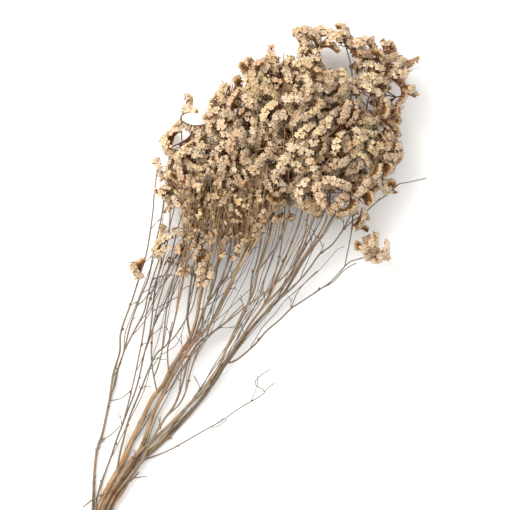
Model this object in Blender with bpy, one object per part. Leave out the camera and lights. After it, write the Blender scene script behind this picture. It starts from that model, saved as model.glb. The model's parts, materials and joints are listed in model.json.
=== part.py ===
"""Dried statice: a cut bunch of eight branched stems, lying on a flat surface.

Metres, +Z up. The bunch's length runs along X, with the flowers at +X. The origin lies on the
surface, under the middle of the bunch. Each stem with its twigs is one solid, and so is each
flower spray: its stalks, and the curved spikes of florets on them, which are larger than life.
"""
import math
import random

import bpy
import numpy as np
from mathutils import Vector
from mathutils.kdtree import KDTree

# Driving sizes
MM = 0.001
SQUARE = 0.00087            # one square of the grid that the bunch is drawn on, seen from above
BUNCH_TURN = math.radians(63.0)   # from the drawing's x axis to the bunch's length
DRAWING_CENTRE = (231.2, 280.8)   # the point of the drawing that lies over the origin
GAP = 0.3 * MM              # between a spray and the twig that carries it
CLEARANCE = 0.35 * MM       # the least room between two stems, or between two sprays
SEED = 42

# Florets and spikes, larger than life
FLORET_DEPTH = 6.8 * MM
FLORET_MOUTH = 4.4 * MM     # radius
FLORET_DIP = 1.7 * MM       # how far the middle of the mouth is sunk
FLORET_SIDES = 5
FLORET_STEP = 5.0 * MM      # along the spike, one floret to the left and the next to the right
FLORET_LEAN = math.radians(24.0)
FLORETS_A_SPIKE = 4
SPIKE_HALF = FLORET_STEP * FLORETS_A_SPIKE / 2
RACHIS_RADIUS = 1.2 * MM
STALK_RADIUS = 1.1 * MM
STRAIGHT_START = 2.5 * MM   # of a stalk, in line with the twig that carries it
STALK_BRANCHING = 0.3       # the fraction of the first stalk at which the others leave it
BEND = 0.45                 # how far a stalk holds its first way, as a share of its length
TIP_FOOT = 1.5 * MM         # the bare foot of a spike at a stalk's end
TIP_SHARE = 0.7             # of the tries at a stalk's first spike that end the stalk
SIDE_FOOT = (3 * MM, 9 * MM)      # and of one on its side, least and most
SIDE_ANGLE = (40, 100)      # degrees between such a spike and the stalk
SIDE_PLACE = (0.4, 0.97)    # fraction of the stalk's last run where it grows
TURN_ROUND = 2.4            # radians round the stalk from one spike to the next
CURL = (15, 95)             # degrees that a spike curls over its length
OVERLAP = 0.8 * MM          # how deep a spike's foot is sunk in its stalk

# Settling and placing
BEAD_STEP = 1.5 * MM        # between the round beads that stand for a stem
SETTLE_SPREAD = 20 * MM     # how far along a stem a push is felt
SETTLE_ROOM = CLEARANCE + 0.35 * MM
SETTLE_TURNS = 120
STALK_TRIES = 160
STALK_STRAY = 9 * MM        # how far from the cluster's middle the last tries end
STALK_SWING = 1.4           # and how much they turn away from the twig's way
SPIKE_TRIES = 120
SHORTER_AFTER = (50, 75)    # tries after which a spike has one floret less
SPIKE_SWING = 0.5           # at a stalk's end
FACE_SWING = 0.75           # how much a spike's florets turn from the way out of the mass
NEIGHBOUR_REACH = 14 * MM   # florets further apart than this don't crowd each other
MOUTH_BEAD = 4 * MM         # beads larger than this are the mouths of florets

# Colours, as linear RGB
WOOD = (0.245, 0.150, 0.085)
CREAM = (0.640, 0.500, 0.345)

# The drawing of the stems. Each branch is the spray that it bears, its radius at the start and
# at the end in mm, and its points: x to the right, y down, and the height in mm where it is
# known. A branch after the first one grows from the branch that is nearest to its first point.
STEMS = {
    "stem_1": [
        ("spray_01", 1.4, 0.6, [
            (89.5, 531, 1.6), (91.5, 510, 1.6), (93, 475), (96, 450), (101, 435), (108, 402, 3),
            (112, 375), (118.5, 353), (120, 332, 6), (131, 301), (138, 279, 10), (146, 252),
            (151.5, 218, 15), (154, 190), (156.5, 172, 19)]),
        ("spray_03", 0.9, 0.6, [
            (109, 397), (113.5, 387), (117, 370), (123, 352), (129, 327, 9), (138.5, 300),
            (148, 277), (153, 252), (160, 222), (163, 203, 20)]),
        ("spray_04", 0.8, 0.6, [
            (123, 352), (131, 336), (143, 313), (147, 296, 12), (155, 270), (166, 238),
            (173, 212), (175, 198, 28)]),
        ("spray_02", 0.6, 0.6, [(136, 287), (138.5, 279, 15)]),
        ("", 0.6, 0.5, [(99, 443), (110, 436), (119, 427, 6)]),
        ("", 0.6, 0.5, [(108, 402), (120, 399.5), (130, 391.5, 8)]),
    ],
    "stem_2": [
        ("spray_05", 1.0, 0.7, [
            (93.5, 529, 4.3), (95.5, 502, 4.4), (101, 482), (109, 461, 5), (116, 440), (126, 414),
            (136, 387, 8), (144, 352), (148, 339), (151, 320, 10), (154, 292), (160, 265, 14)]),
        ("spray_06", 0.8, 0.6, [
            (121, 426), (128, 402), (133, 381, 9), (138, 357), (142, 337, 12), (146, 312),
            (153, 288), (162, 262), (168, 236, 20), (170, 205), (168, 178), (169, 153, 26)]),
        ("spray_07", 0.8, 0.6, [
            (148, 338), (156, 320), (163, 306, 13), (170, 288), (176, 270), (183, 248, 24),
            (187, 226), (188, 201, 36)]),
        ("", 0.5, 0.5, [(151, 312), (163, 304.5), (178, 297, 16)]),
    ],
    "stem_3": [
        ("spray_31", 2.6, 0.8, [
            (92, 530, 2.6), (97.5, 510, 2.6), (110, 484, 2.8), (121, 465), (130, 444, 4),
            (143, 417), (152, 399, 6), (163, 385), (170, 370), (184, 348, 10), (190, 338),
            (196, 320, 14), (200, 298), (205, 276, 24), (211, 252), (215, 228, 34), (218, 200),
            (217, 173, 40)]),
        ("spray_51", 1.0, 0.6, [
            (115, 475), (119, 455, 6), (122, 443), (128, 420), (137, 398, 9), (150, 366),
            (157, 353), (167, 344, 12), (173, 325), (179, 298, 18), (184, 274), (189, 250),
            (196, 228, 30), (205, 208, 38)]),
        ("spray_09", 0.8, 0.6, [
            (156, 393), (153.5, 380, 9), (151, 363), (151, 345), (153, 325, 14), (158, 303),
            (164, 283), (170, 260, 22), (175, 238), (182, 212), (187, 186), (187, 163, 42)]),
        ("spray_08", 0.7, 0.6, [
            (153.5, 378), (157, 368), (161, 353), (164, 328, 16), (166, 310), (170, 290),
            (177, 266, 24), (183, 240), (184, 212), (183, 180, 30), (182, 150), (181, 120, 34)]),
        ("spray_10", 1.1, 0.6, [
            (190, 338), (187, 318), (189, 295, 18), (193, 268), (198, 240), (201, 210, 38),
            (204, 175), (207, 131, 44)]),
        ("spray_54", 0.8, 0.6, [
            (168, 374), (167, 358), (168, 345), (175, 336), (184, 322, 18), (192, 308),
            (196, 293, 26)]),
        ("", 0.6, 0.5, [(168, 345), (170, 330), (172, 322, 16)]),
        ("", 1.0, 0.7, [(104, 495), (95, 499, 7.5), (88, 504, 6), (82, 509, 4)]),
    ],
    "stem_4": [
        ("spray_29", 2.2, 0.8, [
            (100.2, 529, 5), (103.7, 510, 5), (112.5, 493), (122, 478, 5.2), (130, 467),
            (142, 445, 6), (152, 416), (160, 400, 8), (168, 384), (179, 365, 12), (190, 347),
            (200, 336, 15), (212, 322), (222, 303, 22), (232, 282), (240, 262, 32), (246, 240),
            (250, 215, 42), (253, 190), (255, 160), (255, 118, 48)]),
        ("spray_50", 1.2, 0.6, [
            (191, 346), (198, 326), (205, 307, 20), (217, 290), (228, 273), (234, 254, 32),
            (236, 230), (233, 202, 40)]),
        ("spray_30", 1.1, 0.6, [
            (196, 341), (201, 328), (204, 312, 22), (209, 297), (214, 275), (220, 250, 36),
            (226, 222), (230, 195), (232, 165), (233, 132, 48)]),
        ("spray_53", 0.7, 0.6, [(206, 304), (211, 293), (215, 280), (218, 264, 20), (222, 243, 24)]),
        ("spray_52", 0.7, 0.6, [(239, 266), (245, 254), (251, 242, 24)]),
        ("spray_11", 0.7, 0.6, [(225, 226), (222, 195), (220, 160, 40), (221, 135), (225, 112, 38)]),
        ("spray_32", 0.8, 0.6, [(247, 238), (244, 205), (241, 180), (240, 164, 46)]),
    ],
    "stem_5": [
        ("spray_47", 1.4, 0.7, [
            (105, 533, 9.2), (107.5, 510, 9.2), (116, 494), (127, 480, 8), (141, 461),
            (152, 440, 8), (164, 420), (175, 404, 9), (183, 380), (188, 360, 11), (198, 344),
            (212, 333, 13), (228, 321), (244, 308, 18), (262, 295), (278, 282, 24), (292, 267),
            (302, 250, 32), (309, 232), (316, 214, 38)]),
        ("spray_49", 0.8, 0.6, [
            (165, 418), (178, 406), (185, 393, 14), (190, 373), (197, 352), (206, 337, 20),
            (213, 318), (225, 292), (238, 266, 34), (250, 240), (257, 220), (259, 203, 42)]),
        ("spray_48", 0.8, 0.6, [
            (262, 295), (270, 288), (276, 270), (281, 248, 34), (284, 222), (285, 201, 42)]),
        ("spray_46", 0.8, 0.6, [(294, 264), (303, 240), (308, 215, 44), (310, 190, 50)]),
        ("", 0.6, 0.5, [(225, 322), (234, 313), (244, 304, 24)]),
    ],
    "stem_6": [
        ("spray_35", 1.6, 0.8, [
            (109, 532, 6.2), (111, 510, 6.2), (121, 494), (134, 473, 6.5), (146, 456),
            (160, 442, 6.5), (172, 428), (184, 411, 7), (203, 390), (213, 377, 9), (228, 358),
            (241, 339, 12), (252, 322), (263, 307, 17), (272, 289), (283, 264, 28), (293, 240),
            (300, 220, 38), (305, 195), (308, 170), (310, 149, 50)]),
        ("spray_36", 1.2, 0.6, [
            (263, 307), (275, 295), (288, 281, 26), (300, 263), (312, 245), (324, 225, 40),
            (330, 203), (328, 178), (331, 152), (337, 132, 50)]),
        ("spray_27", 0.8, 0.6, [(307, 175), (303, 148), (302, 119, 52)]),
        ("spray_26", 0.8, 0.6, [(304, 155), (311, 130), (313, 105), (312, 88, 48)]),
        ("spray_17", 0.7, 0.6, [(313, 108), (320, 92), (321, 72), (318, 54, 44)]),
        ("spray_16", 0.6, 0.6, [(321, 80), (314, 70), (308, 60, 40)]),
        ("spray_25", 0.8, 0.6, [(332, 148), (331, 125), (333, 100, 48)]),
        ("spray_18", 0.7, 0.6, [(337, 140), (345, 120), (351, 96), (352, 72, 42), (347, 50, 44)]),
    ],
    "stem_7": [
        ("spray_22", 2.2, 0.7, [
            (106, 534, 2.3), (109, 512, 2.3), (121, 488, 2.4), (140, 463), (160, 445, 2.6),
            (180, 425), (204, 397, 4), (218, 375), (235, 352, 8), (250, 331), (262, 317, 12),
            (282, 296), (293, 279, 20), (306, 257), (318, 241, 28), (330, 222), (340, 200, 36),
            (348, 178), (355, 160, 42), (363, 140), (366, 118, 44), (368, 100), (374, 92),
            (380, 85, 44)]),
        ("spray_55", 1.0, 0.6, [
            (227, 364), (236, 361), (255, 345, 12), (266, 332), (280, 320), (291, 309, 16),
            (300, 303), (321, 289, 20), (332, 281), (347, 264.5), (351, 261.5), (363, 258, 22)]),
        ("spray_56", 0.6, 0.6, [(345, 266.5), (348, 252), (351, 237), (352, 230, 26)]),
        ("spray_42", 1.0, 0.6, [
            (262, 317), (274, 304), (287, 293), (300, 280, 22), (310, 268), (320, 254),
            (332, 245, 26), (343, 230), (351, 215), (359, 200, 32), (366, 190), (371, 181, 34)]),
        ("", 0.6, 0.5, [
            (343, 230), (353, 221), (366, 212, 26), (378, 201), (390, 193), (398, 184.5, 22),
            (411, 181.5), (427, 178, 22)]),
        ("spray_43", 0.6, 0.6, [(383, 198), (387, 194.5, 26)]),
        ("spray_45", 0.8, 0.6, [(329, 224), (336, 210), (345, 197, 42)]),
        ("spray_44", 0.8, 0.6, [(344, 189), (342, 180), (341, 169, 46)]),
        ("spray_39", 0.8, 0.6, [(350, 173), (359, 166), (365, 157, 46)]),
        ("spray_37", 0.7, 0.6, [(364, 135), (370, 128), (374, 122, 50)]),
        ("spray_24", 0.7, 0.6, [(367, 108), (362, 101), (360, 97, 48)]),
        ("spray_38", 0.7, 0.6, [(363, 140), (373, 131), (383, 123, 40)]),
        ("spray_40", 0.7, 0.6, [(355, 160), (370, 150), (384, 143, 36)]),
        ("spray_23", 0.6, 0.6, [(368, 102), (380, 101), (391, 99, 36)]),
        ("spray_19", 0.6, 0.6, [(370, 96), (366, 80), (364, 66, 44)]),
        ("", 0.6, 0.5, [(322, 288), (333, 282.5), (345, 270), (357, 263, 18)]),
        ("", 0.5, 0.5, [(291, 308.5), (298, 292), (308, 280), (318, 271, 22)]),
        ("", 0.8, 0.5, [
            (141, 462), (152, 458.5), (170, 451, 5), (200, 434, 7), (221, 422), (240.7, 408.5, 9),
            (264.5, 393.5, 12), (255, 385.5, 14), (259, 377.5), (271, 369.5, 16)]),
        ("", 0.5, 0.5, [(264, 393), (268, 389), (274, 384, 14)]),
        ("", 0.5, 0.5, [(210.5, 428.5), (217, 428), (227, 420, 9)]),
        ("", 0.7, 0.6, [(118, 493), (124, 487.5), (130, 483), (138, 473.5, 6)]),
        ("", 0.6, 0.5, [(133, 480), (146, 478, 8)]),
    ],
    "stem_8": [
        ("spray_28", 1.7, 0.8, [
            (99, 532, 9.5), (102, 510, 9.5), (111, 493), (122, 475, 8.5), (132, 460),
            (146, 447, 8), (162, 433, 7.5), (180, 415), (197, 397, 8), (209, 383), (218, 368, 11),
            (226, 350), (233, 335, 15), (240, 319), (247, 306, 20), (254, 290), (258, 272, 30),
            (265, 250), (271, 228, 38), (275, 200), (277, 165), (278, 119, 50)]),
        ("spray_33", 0.9, 0.6, [
            (247, 306), (250, 296), (252, 278, 26), (257, 260), (262, 235, 38), (265, 205),
            (265, 178), (264, 155, 50)]),
        ("spray_34", 0.9, 0.6, [
            (259, 270), (268, 258), (278, 243, 38), (286, 225), (290, 200), (288, 161, 52)]),
        ("spray_14", 0.8, 0.6, [(277, 150), (272, 120), (268, 97), (265, 84, 46)]),
        ("spray_15", 0.8, 0.6, [(278, 135), (283, 112), (283, 84, 48)]),
    ],
}

# The drawing of the flower sprays: the middle of each cluster of spikes, x, y and the height in
# mm, and how many spikes it has.
SPRAYS = {
    "spray_01": [(158, 164, 22, 1)],
    "spray_02": [(140, 267, 20, 2)],
    "spray_03": [(163, 189, 22, 2)],
    "spray_04": [(180, 182, 44, 2)],
    "spray_05": [(158, 243, 28, 2)],
    "spray_06": [(170, 135, 30, 3)],
    "spray_07": [(194, 174, 54, 2), (190, 184, 15, 1)],
    "spray_08": [(190, 103, 36, 1)],
    "spray_09": [(190, 146, 50, 2)],
    "spray_10": [(212, 114, 52, 3)],
    "spray_11": [(221, 93, 42, 1), (238, 84, 56, 2)],
    "spray_14": [(268, 57, 50, 2), (250, 67, 48, 2)],
    "spray_15": [(286, 66, 62, 2)],
    "spray_16": [(301, 36, 48, 3)],
    "spray_17": [(326, 38, 56, 2)],
    "spray_18": [(343, 28, 46, 1), (356, 44, 50, 2)],
    "spray_19": [(369, 47, 50, 3)],
    "spray_22": [(390, 74, 54, 2), (388, 51, 44, 2), (409, 68, 38, 1)],
    "spray_23": [(405, 92, 36, 2)],
    "spray_24": [(362, 84, 62, 2)],
    "spray_25": [(338, 84, 68, 2)],
    "spray_26": [(314, 72, 66, 2), (316, 84, 16, 1)],
    "spray_27": [(303, 104, 76, 2)],
    "spray_28": [(280, 100, 78, 2), (280, 106, 15, 1)],
    "spray_29": [(257, 102, 72, 2), (256, 108, 15, 1)],
    "spray_30": [(236, 114, 64, 2), (236, 122, 15, 1)],
    "spray_31": [(216, 148, 62, 2), (214, 156, 16, 1)],
    "spray_32": [(243, 147, 76, 2)],
    "spray_33": [(266, 138, 80, 2), (264, 146, 15, 1)],
    "spray_34": [(291, 144, 84, 2)],
    "spray_35": [(315, 130, 84, 2), (312, 136, 15, 1)],
    "spray_36": [(343, 117, 74, 2), (341, 122, 15, 1)],
    "spray_37": [(374, 110, 62, 2)],
    "spray_38": [(396, 113, 42, 3)],
    "spray_39": [(378, 146, 58, 2)],
    "spray_40": [(396, 134, 38, 1), (398, 152, 36, 2)],
    "spray_42": [(386, 171, 44, 3)],
    "spray_43": [(391, 187, 29, 1)],
    "spray_44": [(344, 152, 74, 2), (350, 160, 16, 1)],
    "spray_45": [(354, 183, 60, 3)],
    "spray_46": [(317, 173, 76, 2)],
    "spray_47": [(328, 199, 54, 3)],
    "spray_48": [(288, 182, 64, 2)],
    "spray_49": [(262, 184, 64, 2), (262, 192, 16, 1)],
    "spray_50": [(236, 183, 60, 2)],
    "spray_51": [(211, 190, 48, 2)],
    "spray_52": [(255, 224, 34, 2)],
    "spray_53": [(228, 224, 32, 2)],
    "spray_54": [(203, 272, 34, 2), (201, 250, 34, 1)],
    "spray_55": [(376, 246, 26, 4)],
    "spray_56": [(359, 217, 30, 2)],
}

# The spikes that the bunch rests on lie level, close to the surface, with their florets down.
RESTING = {
    "spray_26": (316, 84),
    "spray_31": (214, 156),
    "spray_44": (350, 160),
    "spray_49": (262, 192),
}
RESTING_HEIGHT = 4.2 * MM

# The outline of the flower mass in the drawing, and the openings in it where light shows.
OUTLINE = [
    (168, 200), (164, 185), (166, 172), (168, 160), (163, 148), (162, 138), (166, 131), (169, 124),
    (176, 121), (181, 124), (190, 122), (197, 128), (204, 126), (203, 113), (206, 104), (208, 94),
    (213, 94), (214, 104), (219, 106), (217, 95), (216, 84), (220, 80), (226, 84), (236, 78),
    (237, 70), (233, 64), (237, 61), (246, 58), (252, 55), (261, 58), (262, 48), (268, 44),
    (274, 46), (281, 53), (285, 50), (291, 51), (292, 60), (300, 64), (303, 58), (297, 50),
    (300, 40), (290, 34), (286, 28), (290, 23), (298, 25), (303, 21), (318, 27), (330, 28),
    (337, 26), (338, 20), (344, 18), (348, 24), (354, 36), (361, 42), (362, 36), (367, 32),
    (376, 44), (382, 54), (382, 44), (388, 39), (394, 40), (399, 54), (404, 60), (417, 59),
    (422, 64), (421, 70), (407, 74), (404, 82), (411, 85), (417, 87), (416, 91), (403, 99),
    (408, 104), (407, 109), (403, 120), (393, 126), (404, 131), (402, 136), (396, 139), (407, 146),
    (404, 158), (404, 164), (398, 168), (397, 175), (382, 178), (381, 190), (376, 203), (364, 208),
    (350, 216), (328, 216), (308, 225), (302, 224), (294, 204), (286, 206), (272, 222), (270, 240),
    (262, 248), (250, 250), (240, 246), (236, 238), (226, 242), (218, 250), (212, 245), (200, 232),
    (186, 226), (186, 210), (176, 205)]
OPENINGS = [(338, 59, 15, 9), (366, 103, 4, 6), (394, 91, 6, 9), (181, 139, 6, 6), (199, 120, 6, 7)]

# The sprays that stand alone, each with the ellipse that its florets keep to in the drawing: x, y,
# and half its width and height.
ALONE = {
    "spray_01": (158, 163, 8, 12),
    "spray_02": (140, 268, 9, 12),
    "spray_03": (165, 191, 10, 14),
    "spray_05": (160, 241, 11, 20),
    "spray_08": (189, 103, 8, 12),
    "spray_43": (390, 187, 12, 9),
    "spray_54": (202, 263, 11, 26),
    "spray_55": (376, 246, 24, 16),
    "spray_56": (359, 216, 11, 13),
}

# The flower mass is about an ellipsoid: the florets face away from its middle.
MASS_MIDDLE = (288, 140, 34)
MASS_HALF = (125, 92, 44)   # in mm: along the bunch, across it, and up
TALLEST = 93.0 * MM


def place(x, y, height=0.0):
    """A point of the drawing, with its height in mm, as a point of the model."""
    right = (x - DRAWING_CENTRE[0]) * SQUARE
    up = (DRAWING_CENTRE[1] - y) * SQUARE
    cos, sin = math.cos(BUNCH_TURN), math.sin(BUNCH_TURN)
    return Vector((right * cos + up * sin, up * cos - right * sin, height * MM))


def on_drawing(point):
    """The point of the drawing that lies over a point of the model."""
    cos, sin = math.cos(BUNCH_TURN), math.sin(BUNCH_TURN)
    right = point[0] * cos - point[1] * sin
    up = point[0] * sin + point[1] * cos
    return DRAWING_CENTRE[0] + right / SQUARE, DRAWING_CENTRE[1] - up / SQUARE


def inside(x, y):
    """Whether a point of the drawing is in the outline and in none of its openings."""
    for ox, oy, half_x, half_y in OPENINGS:
        if ((x - ox) / half_x) ** 2 + ((y - oy) / half_y) ** 2 < 1:
            return False
    within = False
    for (ax, ay), (bx, by) in zip(OUTLINE, OUTLINE[1:] + OUTLINE[:1]):
        if (ay > y) != (by > y) and x < ax + (bx - ax) * (y - ay) / (by - ay):
            within = not within
    return within


def fits(name, points):
    """Whether a spray's florets at these points keep to the outline, or to its own ellipse."""
    for x, y in map(on_drawing, points):
        if name in ALONE:
            middle_x, middle_y, half_x, half_y = ALONE[name]
            if ((x - middle_x) / half_x) ** 2 + ((y - middle_y) / half_y) ** 2 > 1:
                return False
        elif not inside(x, y):
            return False
    return True


class Branch:
    """One run of a stem: its points in the model, their radii, and where it grows from."""

    def __init__(self, bears, start_radius, end_radius, drawn):
        self.bears = bears
        self.points = [place(*p) for p in drawn]
        self.known = [len(p) == 3 for p in drawn]
        self.parent = None
        lengths = [0.0]
        for a, b in zip(self.points, self.points[1:]):
            lengths.append(lengths[-1] + (b.xy - a.xy).length)
        self.along = [s / lengths[-1] for s in lengths]
        self.radii = [(start_radius + (end_radius - start_radius) * t) * MM for t in self.along]

    def fill_heights(self):
        marks = [i for i, known in enumerate(self.known) if known]
        self.known = [True] * len(self.known)
        for a, b in zip(marks, marks[1:]):
            for i in range(a + 1, b):
                t = (self.along[i] - self.along[a]) / (self.along[b] - self.along[a])
                self.points[i].z = self.points[a].z + (self.points[b].z - self.points[a].z) * t

    def nearest(self, point):
        """The segment and the fraction of it that lie nearest to a point, seen from above."""
        best = None
        for i, (a, b) in enumerate(zip(self.points, self.points[1:])):
            run = (b - a).xy
            t = min(1.0, max(0.0, (point - a).xy.dot(run) / run.length_squared))
            away = (a.xy + run * t - point.xy).length
            if best is None or away < best[0]:
                best = (away, i, t)
        return best

    def seat(self):
        """Puts the first point on the branch that this one grows from."""
        if self.parent:
            branch, i, t = self.parent
            self.points[0] = branch.points[i].lerp(branch.points[i + 1], t)

    def beads(self, step):
        """Points along the branch with their radii, for telling how near it comes to others."""
        for a, b, ra, rb in zip(self.points, self.points[1:], self.radii, self.radii[1:]):
            count = max(1, math.ceil((b - a).length / step))
            for k in range(count):
                t = k / count
                yield a.lerp(b, t), (ra + (rb - ra) * t) * tube_swell(ra)
        yield self.points[-1], self.radii[-1] * tube_swell(self.radii[-1])


def tube_sides(radius):
    if radius > 1.9 * MM:
        return 5
    return 4 if radius > 1.15 * MM else 3


def tube_swell(radius):
    """How much wider than its true radius a tube of few sides is, to keep its thickness."""
    return {5: 1.07, 4: 1.12, 3: 1.3}[tube_sides(radius)]


def drawn_stems():
    """The stems as drawn, each a list of branches seated on each other."""
    stems = {}
    for name, drawn in STEMS.items():
        branches = []
        for bears, start_radius, end_radius, points in drawn:
            branch = Branch(bears, start_radius, end_radius, points)
            if branches:
                found = [b.nearest(branch.points[0]) + (b,) for b in branches]
                away, i, t, parent = min(found, key=lambda f: f[0])
                branch.parent = (parent, i, t)
                branch.known[0] = True
                branch.seat()
            branch.fill_heights()
            branches.append(branch)
        stems[name] = branches
    return stems


def settle(stems):
    """Lifts or lowers a stem round each place where it would touch another or the surface."""
    names = list(stems)
    for turn in range(SETTLE_TURNS):
        beads = []
        for owner, name in enumerate(names):
            for branch in stems[name]:
                beads += [(point, radius, owner) for point, radius in branch.beads(BEAD_STEP)]
        tree = KDTree(len(beads))
        for i, (point, radius, owner) in enumerate(beads):
            tree.insert((point.x, point.y, 0), i)
        tree.balance()
        pushes = [[] for name in names]
        for i, (point, radius, owner) in enumerate(beads):
            if point.z < radius:
                pushes[owner].append((point.x, point.y, radius - point.z + 0.1 * MM))
            for found, j, away in tree.find_range((point.x, point.y, 0), 6 * MM):
                other, other_radius, other_owner = beads[j]
                if other_owner <= owner:
                    continue
                need = radius + other_radius + SETTLE_ROOM
                if (point - other).length < need:
                    lift = math.sqrt(max(need * need - away * away, 0)) - abs(point.z - other.z)
                    push = lift / 2 if point.z > other.z else -lift / 2
                    pushes[owner].append((point.x, point.y, push))
                    pushes[other_owner].append((other.x, other.y, -push))
        if not any(pushes):
            return
        for owner, name in enumerate(names):
            if not pushes[owner]:
                continue
            field = np.array(pushes[owner])
            for branch in stems[name]:
                for point in branch.points:
                    away = np.hypot(field[:, 0] - point.x, field[:, 1] - point.y)
                    push = field[:, 2] * np.exp(-((away / SETTLE_SPREAD) ** 2))
                    point.z += max(push.max(), 0) + min(push.min(), 0)
            for branch in stems[name]:
                branch.seat()


class Space:
    """Every piece placed so far, as beads with an owner."""

    def __init__(self):
        self.rows = []
        self.table = np.zeros((0, 5))

    def add(self, beads, owner):
        self.rows += [(p[0], p[1], p[2], r, owner) for p, r in beads]

    def near(self, middle, reach):
        if len(self.rows) > len(self.table):
            self.table = np.array(self.rows)
        away = np.abs(self.table[:, :3] - np.array(middle)).max(axis=1)
        return self.table[away < reach]


def is_free(beads, owner, others):
    """Whether beads keep their clearance to the beads of other owners."""
    others = others[others[:, 4] != owner]
    if not len(others) or not beads:
        return True
    middles = np.array([tuple(p) for p, r in beads])
    radii = np.array([r for p, r in beads])
    away = np.linalg.norm(middles[:, None] - others[None, :, :3], axis=2)
    return bool((away > radii[:, None] + others[None, :, 3] + CLEARANCE).all())


def outward(point):
    """The way that the florets face here: away from the middle of the flower mass."""
    middle = place(*MASS_MIDDLE)
    away = point - middle
    way = Vector([away[i] / (MASS_HALF[i] * MM) ** 2 for i in range(3)])
    return way.normalized()


def bend_curve(start, way, end, count):
    """A curve that leaves start in the given way and reaches end."""
    reach = (end - start).length
    control = start + way * reach * BEND
    curve = []
    for k in range(count + 1):
        t = k / count
        curve.append(start * (1 - t) ** 2 + control * 2 * t * (1 - t) + end * t * t)
    return curve


class Spike:
    """A curved spike: a bare foot, then a rachis with florets along its outer side."""

    def __init__(self, start, way, face, bare, florets, turn):
        self.start = start.copy()
        self.way = way.normalized()
        side = face - self.way * face.dot(self.way)
        self.face = side.normalized()
        self.bare = bare
        self.florets = florets
        self.turn = turn
        self.length = FLORET_STEP * florets

    def at(self, t):
        """The point at fraction t of the flowered run, its way and the way florets face."""
        angle = self.turn * t
        foot = self.start + self.way * self.bare
        if abs(self.turn) < 1e-4:
            return foot + self.way * self.length * t, self.way, self.face
        bow = self.length / self.turn
        point = foot + self.way * bow * math.sin(angle) - self.face * bow * (1 - math.cos(angle))
        way = self.way * math.cos(angle) - self.face * math.sin(angle)
        face = self.face * math.cos(angle) + self.way * math.sin(angle)
        return point, way, face

    def floret_places(self):
        """Each floret's root and the way it opens. They lean to the two sides in turn."""
        for k in range(self.florets):
            point, way, face = self.at((k + 0.5) / self.florets)
            lean = FLORET_LEAN * (1 if k % 2 else -1)
            across = way.cross(face)
            opens = face * math.cos(lean) + across * math.sin(lean)
            yield point, opens.normalized()

    def rachis_beads(self):
        line = [self.start + self.way * self.bare * t for t in (0.4, 0.75)]
        line += [self.at(k / 8)[0] for k in range(9)]
        return [(point, RACHIS_RADIUS) for point in line]

    def floret_beads(self):
        row = []
        for root, opens in self.floret_places():
            for part, share in ((0.3, 0.55), (0.62, 0.76), (0.96, 1.02)):
                row.append((root + opens * FLORET_DEPTH * part, FLORET_MOUTH * share))
        return row


def random_way(draw):
    z = draw.uniform(-1, 1)
    angle = draw.uniform(0, 2 * math.pi)
    level = math.sqrt(1 - z * z)
    return Vector((level * math.cos(angle), level * math.sin(angle), z))


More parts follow.
